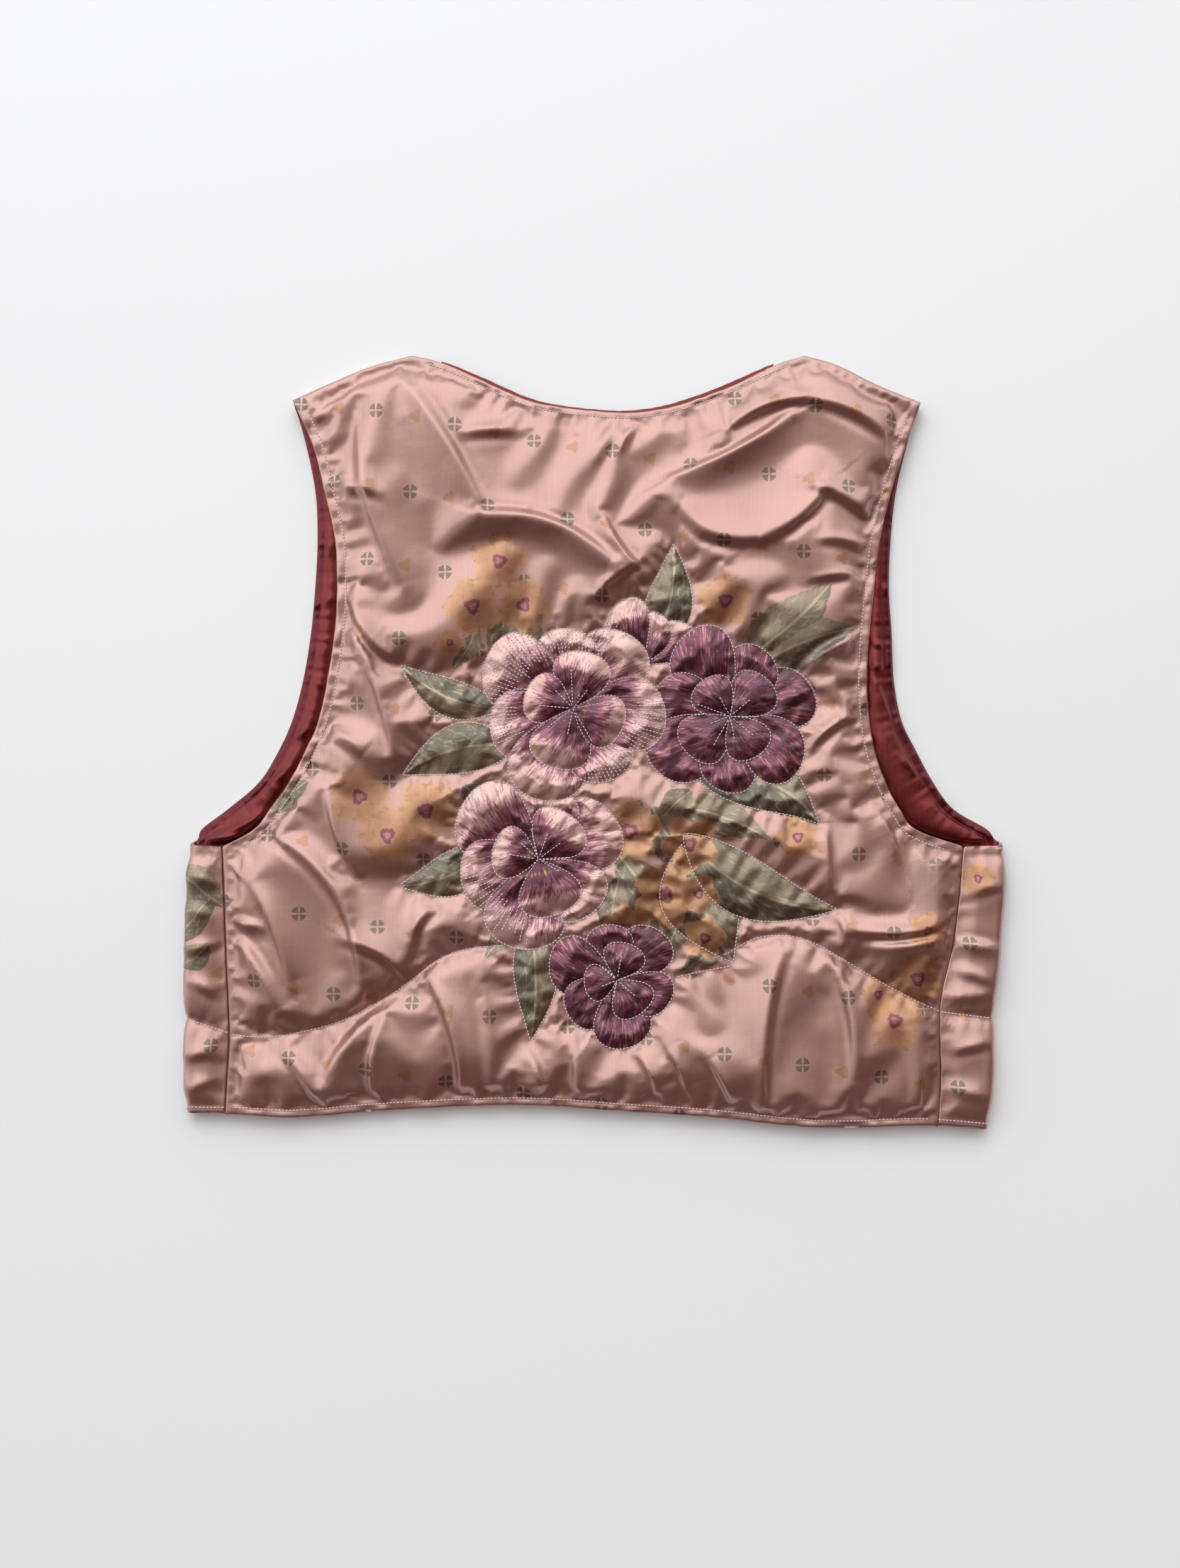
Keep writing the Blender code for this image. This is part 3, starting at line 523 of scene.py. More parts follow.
def settle():
    """Displacement of each lattice point, and the lattice's corner."""
    low = back_grid.min(axis=(0, 1)) - 3 * LATTICE
    high = back_grid.max(axis=(0, 1)) + 3 * LATTICE
    across, up = (np.arange(low[axis], high[axis], LATTICE) for axis in (0, 1))
    flat = np.stack(np.meshgrid(across, up), axis=2)
    shape = flat.shape[:2]
    flat = flat.reshape(-1, 2)
    rim_gap = nearest(flat, back_rim).gap
    outline = np.vstack([hem_line[:-1], side_lines[1][:-1], top_line[:0:-1], side_lines[0][:0:-1]])
    panel = inside(flat, outline)
    kept = (panel | (rim_gap < 1.5 * LATTICE)).reshape(shape)
    start = lie(flat, LATTICE / 2, ~panel)
    held = (start.gap < HELD_BY_SEAM) | ~panel | (start.rim_gap < HELD_BY_RIM)
    in_spray = in_shapes(flat, motifs)
    number = np.arange(flat.shape[0]).reshape(shape)
    cells = np.stack([number[:-1, :-1], number[:-1, 1:], number[1:, 1:], number[1:, :-1]], axis=2)
    whole = kept[:-1, :-1] & kept[:-1, 1:] & kept[1:, 1:] & kept[1:, :-1]
    places = np.column_stack([start.points, start.top])
    mesh = bpy.data.meshes.new("settling")
    mesh.from_pydata((places * CLOTH_SCALE).tolist(), [], cells[whole].tolist())
    sheet = bpy.data.objects.new("settling", mesh)
    scene.collection.objects.link(sheet)
    pins = sheet.vertex_groups.new(name="stitched")
    pins.add(np.flatnonzero(held).tolist(), 1.0, "REPLACE")
    spray = sheet.vertex_groups.new(name="spray")
    spray.add(np.flatnonzero(in_spray).tolist(), 1.0, "REPLACE")
    cloth = sheet.modifiers.new("satin", "CLOTH")
    facts = cloth.settings
    facts.vertex_group_mass = "stitched"
    facts.vertex_group_shrink = "spray"
    facts.shrink_min, facts.shrink_max = -FIELD_SLACK, -SPRAY_SLACK
    facts.quality = 5
    facts.tension_stiffness = facts.compression_stiffness = 12
    facts.shear_stiffness = 6
    facts.bending_stiffness = 2.2
    facts.tension_damping = facts.compression_damping = facts.shear_damping = 8
    facts.air_damping = 4
    facts.effector_weights.gravity = 0
    cloth.collision_settings.use_collision = False
    for frame_number in range(1, CLOTH_FRAMES + 1):
        scene.frame_set(frame_number)
    settled = sheet.evaluated_get(bpy.context.evaluated_depsgraph_get()).data
    moved = np.empty(places.size, np.float32)
    settled.vertices.foreach_get("co", moved)
    scene.frame_set(1)
    bpy.data.objects.remove(sheet, do_unlink=True)
    moved = moved.reshape(places.shape) / CLOTH_SCALE - places
    moved[~kept.ravel()] = 0
    return moved.reshape(*shape, 3), low


def sampled(field, low, points):
    """A lattice's values at any points, by the cubic through the four nearest each way."""
    place = (points - low) / LATTICE
    whole = np.clip(np.floor(place).astype(int), 1, np.array(field.shape[1::-1]) - 3)
    total = 0
    weights = []
    for part in (place - whole).T:
        weights.append((
            -0.5 * part + part**2 - 0.5 * part**3, 1 - 2.5 * part**2 + 1.5 * part**3,
            0.5 * part + 2 * part**2 - 1.5 * part**3, -0.5 * part**2 + 0.5 * part**3))
    for i in range(4):
        for j in range(4):
            share = weights[0][i] * weights[1][j]
            total = total + share[:, None] * field[whole[:, 1] + j - 1, whole[:, 0] + i - 1]
    return total


SEAM_REACH, SEAM_GRIP = 0.6, 1.2
MOST_DRIFT, MOST_RISE = 3.0, 9.0
rim = np.zeros((BACK_UP + 1, BACK_ACROSS + 1), bool)
rim[[0, -1]] = True
rim[:, [0, -1]] = True
back_lie = lie(back_grid.reshape(-1, 2), SEAM_REACH, rim.ravel())
back_flat = back_lie.points
moved = sampled(*settle(), back_flat)
moved *= rounded(np.minimum(back_lie.gap, back_lie.rim_gap), SEAM_GRIP)[:, None]
drift = MOST_DRIFT * np.tanh(moved[:, :2] / MOST_DRIFT)
rise = MOST_RISE * np.tanh(moved[:, 2] / MOST_RISE)
back_top = np.maximum(back_lie.top + rise, BACK_BASE + LEAST_WALL)
back_places = np.column_stack([back_flat + drift, back_top])

# The finished edge is rolled: the satin turns over the wadding and under to the lining
RolledEdge = namedtuple("RolledEdge", "out height")
ROLLED_EDGE = [RolledEdge(0.12, 1.3), RolledEdge(-0.1, 0.55), RolledEdge(-0.8, 0.0)]
EDGE_ROUND = 0.5
SLIVER = 0.25


def border(rows, columns):
    """Numbers of a grid's outer points, once round from its first corner."""
    number = np.arange(rows * columns).reshape(rows, columns)
    return np.concatenate([number[0, :-1], number[:-1, -1], number[-1, :0:-1], number[:0:-1, 0]])


def outward(loop):
    """Unit direction square to a closed line that runs anticlockwise, out of what it encloses."""
    way = np.roll(loop, -1, axis=0) - np.roll(loop, 1, axis=0)
    way /= np.linalg.norm(way, axis=1)[:, None]
    return np.stack([way[:, 1], -way[:, 0]], axis=1)


def band(low, high):
    """Two triangles for each step between two closed rows of points."""
    low_next, high_next = np.roll(low, -1), np.roll(high, -1)
    return np.vstack([np.stack([low, high_next, high], 1), np.stack([low, low_next, high_next], 1)])


def grid_faces(places, rows, columns, held):
    """Two triangles a cell, split along a seam where one crosses it and else the shorter way.

    A split that would leave a sliver, because three corners lie on one seam, goes the other way.
    """
    number = np.arange(rows * columns).reshape(rows, columns)
    a, b = number[:-1, :-1].ravel(), number[:-1, 1:].ravel()
    c, d = number[1:, 1:].ravel(), number[1:, :-1].ravel()

    def least(one, two):
        """The smaller plan area of two triangles, given by their corners."""
        sizes = []
        for i, j, k in (one, two):
            u, v = places[j, :2] - places[i, :2], places[k, :2] - places[i, :2]
            sizes.append(u[:, 0] * v[:, 1] - u[:, 1] * v[:, 0])
        return np.minimum(*sizes)

    when_rising, when_falling = least((a, b, c), (a, c, d)), least((a, b, d), (b, c, d))
    rising = np.linalg.norm(places[a] - places[c], axis=1) <= np.linalg.norm(places[b] - places[d], axis=1)
    seam_rises, seam_falls = held[a] & held[c], held[b] & held[d]
    rising = np.where(seam_rises ^ seam_falls, seam_rises, rising)
    sliver = np.where(rising, when_rising, when_falling) < SLIVER
    rising = np.where(sliver, when_rising > when_falling, rising)[:, None]
    first = np.where(rising, np.stack([a, b, c], 1), np.stack([a, b, d], 1))
    second = np.where(rising, np.stack([a, c, d], 1), np.stack([b, c, d], 1))
    return np.vstack([first, second])


def cloth_piece(name, places, faces, materials, slots=None):
    """A smooth mesh object in metres from places in millimetres."""
    mesh = bpy.data.meshes.new(name)
    mesh.from_pydata((np.asarray(places) * MM).tolist(), [], faces)
    for material in materials:
        mesh.materials.append(material)
    if slots is not None:
        mesh.polygons.foreach_set("material_index", np.asarray(slots, np.int32))
    mesh.shade_smooth()
    mesh.validate()
    piece = bpy.data.objects.new(name, mesh)
    scene.collection.objects.link(piece)
    return piece


def mark(piece, name, values, domain="POINT"):
    """Keep a number or a vector at each point, corner or face for the material to read."""
    values = np.asarray(values, np.float32)
    kind = "FLOAT_VECTOR" if values.ndim > 1 else "FLOAT"
    field = piece.data.attributes.new(name, kind, domain)
    field.data.foreach_set("vector" if values.ndim > 1 else "value", values.ravel())


back_places[rim.ravel(), 2] -= EDGE_ROUND
back_faces = grid_faces(back_places, BACK_UP + 1, BACK_ACROSS + 1, back_lie.held)
loop = border(BACK_UP + 1, BACK_ACROSS + 1)
out = outward(back_flat[loop])
rings = [loop]
places = [back_places]
for step in ROLLED_EDGE:
    ring = back_flat[loop] + step.out * out
    rings.append(np.arange(len(loop)) + sum(map(len, places)))
    places.append(np.column_stack([ring, np.full(len(loop), BACK_BASE + step.height)]))
rolled = np.vstack([band(lower, upper) for upper, lower in zip(rings, rings[1:])])
back_shell = np.vstack(places)

# The print on the satin: a small clover and a tan sprig in a slanting repeat, ochre blossoms
# with dark hearts, loose leaves, and the spray that the quilting follows.
Blossom = namedtuple("Blossom", "across up reach turn")
HEART_SHARE = 0.27
BLOSSOMS = [
    Blossom(-60.8, 114.0, 19, 10), Blossom(-77.5, 86.0, 20, 40), Blossom(-45.5, 87.0, 19, 65),
    Blossom(-148.5, -34.0, 20, 5), Blossom(-131.0, -58.0, 20, 30), Blossom(-107.0, -43.0, 21, 50),
    Blossom(82.8, 90.0, 19, 20), Blossom(22.0, -56.0, 22, 15), Blossom(60.0, -64.5, 20, 45),
    Blossom(44.5, -97.0, 23, 70), Blossom(128.5, -60.0, 15, 30), Blossom(189.5, -176.0, 20, 10),
    Blossom(204.5, -149.5, 19, 40), Blossom(209.0, -118.0, 13, 5), Blossom(-92.0, 64.0, 10, 0),
    Blossom(243.0, -86.0, 12, 20), Blossom(20.0, -118.0, 17, 30), Blossom(70.0, -124.0, 15, 5),
    Blossom(66.0, -96.0, 14, 60), Blossom(180.0, -160.0, 13, 25),
]
PrintedLeaf = namedtuple("PrintedLeaf", "from_across from_up to_across to_up half_width")
PRINTED_BOW = 0.06
PRINTED_LEAVES = [
    PrintedLeaf(-58, 86, -66, 44, 10), PrintedLeaf(-50, 82, -26, 56, 8),
    PrintedLeaf(-74, 76, -92, 46, 7), PrintedLeaf(88, 50, 150, 104, 18),
    PrintedLeaf(96, 44, 168, 74, 16), PrintedLeaf(106, 36, 142, 34, 11),
    PrintedLeaf(-206, -44, -180, -24, 9), PrintedLeaf(-262, -78, -236, -104, 13),
    PrintedLeaf(-262, -128, -238, -92, 9), PrintedLeaf(-262, -142, -244, -126, 9),
    PrintedLeaf(-84, -26, -58, -62, 11), PrintedLeaf(-62, -22, -86, -64, 9),
    PrintedLeaf(50, -40, 112, -62, 13), PrintedLeaf(36, -40, 74, -90, 13),
    PrintedLeaf(14, -70, 46, -130, 15), PrintedLeaf(70, -88, 44, -142, 12),
    PrintedLeaf(98, -84, 62, -132, 11), PrintedLeaf(16, -84, 12, -130, 11),
    PrintedLeaf(30, -36, 6, -60, 8), PrintedLeaf(62, -30, 40, -52, 9),
    PrintedLeaf(86, -116, 52, -148, 9), PrintedLeaf(-44, -112, -70, -138, 8),
    PrintedLeaf(-26, -120, -6, -152, 9),
]
Smudge = namedtuple("Smudge", "across up reach")
SMUDGES = [
    Smudge(210, -96, 14), Smudge(222, -84, 11), Smudge(206, -82, 9), Smudge(-254, -62, 12),
    Smudge(-243, -84, 8), Smudge(203, -110, 8), Smudge(212, -68, 8),
]


def blossom_field(points):
    """How deep a point lies in a blossom: its radius against a reach that waves five times round."""
    deepest = np.full(len(points), -1.0)
    heart = np.full(len(points), -1.0)
    for row in BLOSSOMS:
        off = points - (row.across, row.up)
        radius = np.hypot(*off.T)
        around = np.arctan2(off[:, 1], off[:, 0]) - math.radians(row.turn)
        reach = row.reach * (0.74 + 0.26 * np.abs(np.cos(2.5 * around)))
        deepest = np.maximum(deepest, 1 - radius / reach)
        heart_reach = HEART_SHARE * row.reach * (0.9 + 0.14 * np.cos(3 * around))
        heart = np.maximum(heart, 1 - radius / heart_reach)
    return deepest, heart


def leaf_field(points):
    """How deep a point lies in a printed leaf, and its place along the leaf and to the side."""
    deepest = np.full(len(points), -1.0)
    spot = np.zeros((len(points), 3))
    for index, row in enumerate(PRINTED_LEAVES):
        base, tip = np.array([row.from_across, row.from_up], float), np.array([row.to_across, row.to_up])
        leaf = blade(base, tip, row.half_width, PRINTED_BOW * (-1) ** index, leaf_profile, LEAF)
        t, s = in_blade(leaf, points)
        depth = np.where((t > 0) & (t < 1), leaf_profile(t) - np.abs(s), -1)
        deeper = depth > deepest
        deepest[deeper] = depth[deeper]
        spot[deeper] = np.column_stack([t, s, np.full(len(t), index * 1.7)])[deeper]
    return deepest, spot


def smudge_field(points):
    """How deep a point lies in one of the soft grey-brown shapes."""
    deepest = np.full(len(points), -1.0)
    for row in SMUDGES:
        deepest = np.maximum(deepest, 1 - np.hypot(*(points - (row.across, row.up)).T) / row.reach)
    return deepest


def print_on(piece, points):
    """Mark the printed fields on a satin piece from its places in the cut."""
    blossom, heart = blossom_field(points)
    leaf, spot = leaf_field(points)
    mark(piece, "cut", np.column_stack([points, np.zeros(len(points))]))
    mark(piece, "blossom", blossom)
    mark(piece, "heart", heart)
    mark(piece, "leaf_print", leaf)
    mark(piece, "leaf_spot", spot)
    mark(piece, "smudge", smudge_field(points))


class Number:
    """A socket of a material. A sum written on it adds the Math node that works it out."""

    def __init__(self, finish, socket):
        self.finish = finish
        self.socket = socket

    def maths(self, operation, *values):
        """One Math node on this number and others."""
        return self.finish.node("ShaderNodeMath", {"operation": operation}, values)

    def __add__(self, other):
        return self.maths("ADD", self, other)

    def __sub__(self, other):
        return self.maths("SUBTRACT", self, other)

    def __rsub__(self, other):
        return self.maths("SUBTRACT", other, self)

    def __mul__(self, other):
        return self.maths("MULTIPLY", self, other)

    def __truediv__(self, other):
        return self.maths("DIVIDE", self, other)

    def __gt__(self, other):
        return self.maths("GREATER_THAN", self, other)

    def __lt__(self, other):
        return self.maths("LESS_THAN", self, other)

    def __abs__(self):
        return self.maths("ABSOLUTE", self)

    __radd__ = __add__
    __rmul__ = __mul__


class Finish:
    """A material in the making, on one Principled shader."""

    def __init__(self, name, **constants):
        self.material = bpy.data.materials.new(name)
        self.material.use_nodes = True
        self.tree = self.material.node_tree
        self.shader = self.tree.nodes["Principled BSDF"]
        for socket, value in constants.items():
            self.shader.inputs[socket.replace("_", " ")].default_value = value

    def node(self, kind, settings, values, output=0):
        """A new node: its settings first, then the value or link of each of its sockets."""
        made = self.tree.nodes.new(kind)
        for name, value in settings.items():
            setattr(made, name, value)
        for place, value in values.items() if isinstance(values, dict) else enumerate(values):
            if isinstance(value, Number):
                self.tree.links.new(value.socket, made.inputs[place])
            else:
                made.inputs[place].default_value = value
        return Number(self, made.outputs[output])

    def feed(self, socket, value):
        """Link a value to one of the shader's own sockets."""
        self.tree.links.new(value.socket, self.shader.inputs[socket])

    def relief(self, height, strength, distance):
        """Let a height tilt the surface a little, by a Bump node."""
        bump = {"Strength": strength, "Distance": distance, "Height": height}
        self.feed("Normal", self.node("ShaderNodeBump", {}, bump))

    def field(self, name, output="Fac"):
        """What was marked on the piece under this name."""
        return self.node("ShaderNodeAttribute", {"attribute_name": name}, {}, output)

    def noise(self, vector, scale, detail=2.0, roughness=0.5, distortion=0.0):
        """Smooth uneven values, from 0 to 1."""
        values = {"Vector": vector, "Scale": scale, "Detail": detail,
                  "Roughness": roughness, "Distortion": distortion}
        return self.node("ShaderNodeTexNoise", {}, values, "Fac")

    def ramp(self, value, low, high):
        """Smooth step from 0 at the first limit to 1 at the second."""
        settings = {"interpolation_type": "SMOOTHSTEP"}
        return self.node("ShaderNodeMapRange", settings, (value, low, high, 0.0, 1.0))

    def blend(self, share, first, second):
        """The first colour where the share is 0, the second where it is 1."""
        first, second = [(*c, 1) if isinstance(c, tuple) else c for c in (first, second)]
        return self.node("ShaderNodeMix", {"data_type": "RGBA"}, {0: share, 6: first, 7: second}, 2)

    def parts(self, vector):
        """The three numbers of a vector."""
        made = self.tree.nodes.new("ShaderNodeSeparateXYZ")
        self.tree.links.new(vector.socket, made.inputs[0])
        return [Number(self, socket) for socket in made.outputs]

    def vector(self, *values):
        """A vector of three numbers."""
        return self.node("ShaderNodeCombineXYZ", {}, values)

    def modulo(self, value, size):
        """What is left of a value past the nearest whole step of a size."""
        return self.node("ShaderNodeMath", {"operation": "WRAP"}, (value, size / 2, -size / 2))


def tint(red, green, blue):
    """Linear colour of a dye given as it is seen, 0 to 255."""
    seen = np.array([red, green, blue]) / 255
    linear = np.where(seen < 0.04045, seen / 12.92, ((seen + 0.055) / 1.055) ** 2.4)
    return tuple(float(value) for value in linear)


# One repeat of the small print, in millimetres, and where one clover stands
REPEAT_A, REPEAT_B, REPEAT_AT = (49.5, -7.6), (21.2, -49.5), (-137.3, 207.9)
SATIN_ROUGHNESS = 0.28


def repeat_place(finish, across, up, shift):
    """A point's place from the nearest repeat: whole steps of the two slanting sides taken off."""
    a, b = np.array(REPEAT_A), np.array(REPEAT_B)
    back = np.linalg.inv(np.column_stack([a, b]))
    x = across - REPEAT_AT[0]
    y = up - REPEAT_AT[1]
    u = x * back[0, 0] + y * back[0, 1] - shift
    v = x * back[1, 0] + y * back[1, 1]
    u = finish.modulo(u, 1)
    v = finish.modulo(v, 1)
    return u * float(a[0]) + v * float(b[0]), u * float(a[1]) + v * float(b[1])


def printed_satin():
    """Old rose satin, its print laid over the dye from the back of the spray to its front."""
    finish = Finish(
        "printed_satin", Metallic=0.8, Specular_IOR_Level=0.5, Coat_Weight=0.7, Coat_Roughness=0.33)
    cut = finish.field("cut", "Vector")
    across, up, _ = finish.parts(cut)
    wobble = finish.noise(cut, 0.16, 3.0, 0.6)
    fine = finish.noise(cut, 0.55, 2.0, 0.6)

    cloud = finish.noise(cut, 0.02, 2.0)
    colour = finish.blend(cloud, tint(190, 149, 138), tint(180, 139, 128))

    # Clover: a disc cut in four by a cross that widens outwards. Sprig: a blot with three lobes
    def reach(x, y):
        """How far a point lies from the middle of its repeat."""
        return finish.node("ShaderNodeVectorMath", {"operation": "LENGTH"}, (finish.vector(x, y, 0),), 1)

    x, y = repeat_place(finish, across, up, 0.0)
    arms = finish.node("ShaderNodeMath", {"operation": "MINIMUM"}, (abs(x), abs(y)))
    away = reach(x, y)
    clover = (away + (fine - 0.5) * 1.2 < 4.5) * (arms > away * 0.13 + 0.3)
    x, y = repeat_place(finish, across, up, 0.5)
    away = reach(x, y)
    lobes = (y * y * 3 - x * x) * x / (away * away * away)
    sprig = away - lobes * 0.8 + (fine - 0.5) * 4.0 < 3.5
    colour = finish.blend(sprig * 0.85, colour, tint(172, 122, 88))
    colour = finish.blend(clover * 0.9, colour, tint(104, 92, 76))

    smudge = finish.ramp(finish.field("smudge") + (wobble - 0.5) * 1.1, 0.10, 0.16)
    colour = finish.blend(smudge * 0.6, colour, tint(150, 116, 104))

    # Leaves: two greens either side of the rib, with paler veins running out to the edge
    def greens(spot, seed):
        """Colour of a leaf from a point's place along its rib and to the side."""
        along, off, which = finish.parts(spot)
        streak = finish.noise(finish.vector(along * 3.0, off * 1.6, which + seed), 3.4, 3.0, 0.6)
        vein = abs(finish.modulo(along * 6.0 - abs(off) * 1.7 + streak * 0.7, 1.0))
        side = finish.ramp(off + (streak - 0.5) * 0.7, -0.25, 0.25)
        green = finish.blend(side, tint(94, 92, 72), tint(126, 116, 92))
        green = finish.blend(finish.ramp(streak, 0.54, 0.68) * 0.8, green, tint(170, 146, 120))
        green = finish.blend(finish.ramp(vein, 0.10, 0.03) * 0.5, green, tint(150, 136, 110))
        dark = finish.ramp(streak, 0.42, 0.30) * 0.6
        green = finish.blend(dark, green, tint(76, 74, 62))
        return finish.blend(finish.ramp(abs(off), 0.07, 0.02) * 0.7, green, tint(178, 164, 138))

    printed = finish.ramp(finish.field("leaf_print") + (wobble - 0.5) * 0.35, 0.02, 0.06)
    leaf_colour = greens(finish.field("leaf_spot", "Vector"), 3.0)
    colour = finish.blend(printed * 0.92, colour, leaf_colour)

    spot = finish.field("petal", "Vector")
    colour = finish.blend(finish.field("leaf"), colour, greens(spot, 8.0))

    # Blossoms: ochre petals, lighter to the edge, round a plum heart
    blossom_depth = finish.field("blossom") + (wobble - 0.5) * 0.5
    blossom = finish.ramp(blossom_depth, 0.03, 0.07)
    deepening = finish.ramp(blossom_depth + fine * 0.3, 0.1, 0.6)
    ochre = finish.blend(deepening, tint(192, 146, 104), tint(172, 122, 80))
    ochre = finish.blend(finish.ramp(wobble, 0.54, 0.62) * 0.6, ochre, tint(152, 104, 72))
    core = finish.field("heart") + (fine - 0.5) * 0.7
    ochre = finish.blend(finish.ramp(core, 0.02, 0.12), ochre, tint(112, 36, 60))
    ochre = finish.blend(finish.ramp(core, 0.5, 0.62) * 0.8, ochre, tint(176, 112, 112))
    colour = finish.blend(blossom * 0.88, colour, ochre)

    # Petals: streaks along each petal, crowded and darker at its base, and a few at its edge
    along, off, which = finish.parts(spot)
    fan = off / (along + 0.22)
    broad = finish.noise(finish.vector(along * 1.3, fan * 1.5, which), 2.2, 3.0, 0.55, 0.25)
    stroke = finish.noise(finish.vector(along * 1.9, fan * 4.4, which + 2.0), 2.2, 3.0, 0.6, 0.15)
    hair = finish.noise(finish.vector(along * 3.2, fan * 10.0, which + 4.0), 2.4, 2.0, 0.6)
    depth = along + (stroke - 0.5) * 0.9 + (hair - 0.5) * 0.35
    rim = finish.ramp(along + (hair - 0.5) * 0.25, 0.80, 0.92)
    outwards = along + (broad - 0.5)
    pale = finish.blend(finish.ramp(outwards, 0.3, 0.8), tint(166, 118, 118), tint(204, 164, 154))
    pale = finish.blend(finish.ramp(broad, 0.55, 0.59) * 0.8, pale, tint(146, 98, 106))
    pale = finish.blend(finish.ramp(stroke - along * 0.10, 0.50, 0.54) * 0.8, pale, tint(150, 90, 106))
    pale = finish.blend(finish.ramp(hair + broad * 0.4, 0.76, 0.80) * 0.75, pale, tint(222, 186, 176))
    pale = finish.blend(rim * finish.ramp(stroke, 0.46, 0.52) * 0.55, pale, tint(214, 180, 168))
    pale = finish.blend(finish.ramp(depth, 0.66, 0.60) * 0.85, pale, tint(128, 58, 84))
    pale = finish.blend(finish.ramp(depth, 0.48, 0.43), pale, tint(78, 18, 46))
    plum = finish.blend(finish.ramp(outwards, 0.2, 0.8), tint(76, 24, 48), tint(102, 46, 70))
    plum = finish.blend(finish.ramp(stroke + along * 0.10, 0.60, 0.64) * 0.8, plum, tint(138, 76, 92))
    silk = finish.ramp(hair + stroke * 0.6 + along * 0.12, 0.98, 1.04)
    plum = finish.blend(silk * 0.85, plum, tint(188, 130, 122))
    plum = finish.blend(finish.ramp(broad, 0.46, 0.40) * 0.8, plum, tint(62, 14, 36))
    plum = finish.blend(finish.ramp(depth, 0.26, 0.20) * 0.8, plum, tint(56, 10, 32))
    anther = finish.ramp(abs(along - 0.24) + (0.62 - hair) * 0.5, 0.06, 0.03)
    anther = anther * finish.ramp(stroke, 0.46, 0.5)
    pale = finish.blend(anther * 0.8, pale, tint(194, 146, 92))
    plum = finish.blend(anther * 0.7, plum, tint(190, 140, 104))
    colour = finish.blend(finish.field("pale"), colour, pale)
    colour = finish.blend(finish.field("plum"), colour, plum)

    # The weave: long floats down the cloth and a faint rib across it
    floats = finish.noise(finish.vector(across * 1.0, up * 0.02, 0), 1.1, 2.0, 0.7)
    ribs = finish.noise(finish.vector(across * 0.03, up * 1.0, 0), 1.3, 2.0, 0.7)
    colour = finish.blend(finish.ramp(floats, 0.3, 0.7) * 0.10, colour, tint(120, 84, 78))
    colour = finish.blend(finish.ramp(ribs, 0.3, 0.7) * 0.03, colour, tint(240, 214, 204))
    finish.feed("Base Color", colour)
    finish.feed("Roughness", SATIN_ROUGHNESS + floats * 0.05 + ribs * 0.05)
    crumple = finish.noise(cut, 0.12, 4.0, 0.55)
    finish.relief(floats * 0.12 + ribs * 0.03 + crumple * 0.4, 0.55, 0.0007)
    return finish.material


SATIN = printed_satin()


def rust_lining():
    """Dark rust satin with a bright gloss, its floats running down the cloth."""
    finish = Finish(
        "rust_lining", Metallic=0.85, Specular_IOR_Level=0.4, Coat_Weight=0.35, Coat_Roughness=0.3)
    place = finish.node("ShaderNodeTexCoord", {}, {}, "Object")
    across, up, high = finish.parts(place)
    cloud = finish.noise(place, 30.0, 3.0)
    floats = finish.noise(finish.vector(across * 1000, up * 25, high * 25), 1.0, 2.0, 0.7)
    colour = finish.blend(cloud, tint(122, 40, 38), tint(94, 26, 28))
    colour = finish.blend(finish.ramp(floats, 0.3, 0.7) * 0.2, colour, tint(150, 60, 52))
    colour = finish.blend(finish.field("band") * 0.8, colour, tint(92, 20, 32))
    finish.feed("Base Color", colour)
    finish.feed("Roughness", 0.30 + floats * 0.08)
    finish.relief(floats * 0.15 + finish.noise(place, 140.0, 3.0) * 0.8, 0.5, 0.0006)
    return finish.material


LINING = rust_lining()

back_all = np.vstack([back_faces, rolled])
back = cloth_piece(
    "back_panel", back_shell, back_all.tolist() + [rings[-1][::-1].tolist()], [SATIN, LINING],
    np.r_[np.zeros(len(back_all)), 1])
print_on(back, np.vstack([back_flat, back_shell[len(back_flat):, :2]]))
middles = back_flat[back_faces].mean(axis=1)
region = np.full(len(back_faces), -1)
for index, motif in enumerate(motifs):
    region[inside(middles, motif.outline)] = index
corner_spots = np.zeros((len(back_faces), 3, 3))
kinds = np.full(len(back.data.polygons), -1)
for index, motif in enumerate(motifs):
    members = np.flatnonzero(region == index)
    kinds[members] = motif.kind
    t, s = in_blade(motif, back_flat[back_faces[members]].reshape(-1, 2))
    spots = np.column_stack([t, s, np.full(len(t), index * 2.3)])
    corner_spots[members] = spots.reshape(-1, 3, 3)
all_spots = np.zeros((len(back.data.loops), 3))
all_spots[:corner_spots.size // 3] = corner_spots.reshape(-1, 3)
mark(back, "petal", all_spots, "CORNER")
for name, kind in (("pale", PALE), ("plum", PLUM), ("leaf", LEAF)):
    mark(back, name, kinds == kind, "FACE")
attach(back, "root")
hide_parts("back")

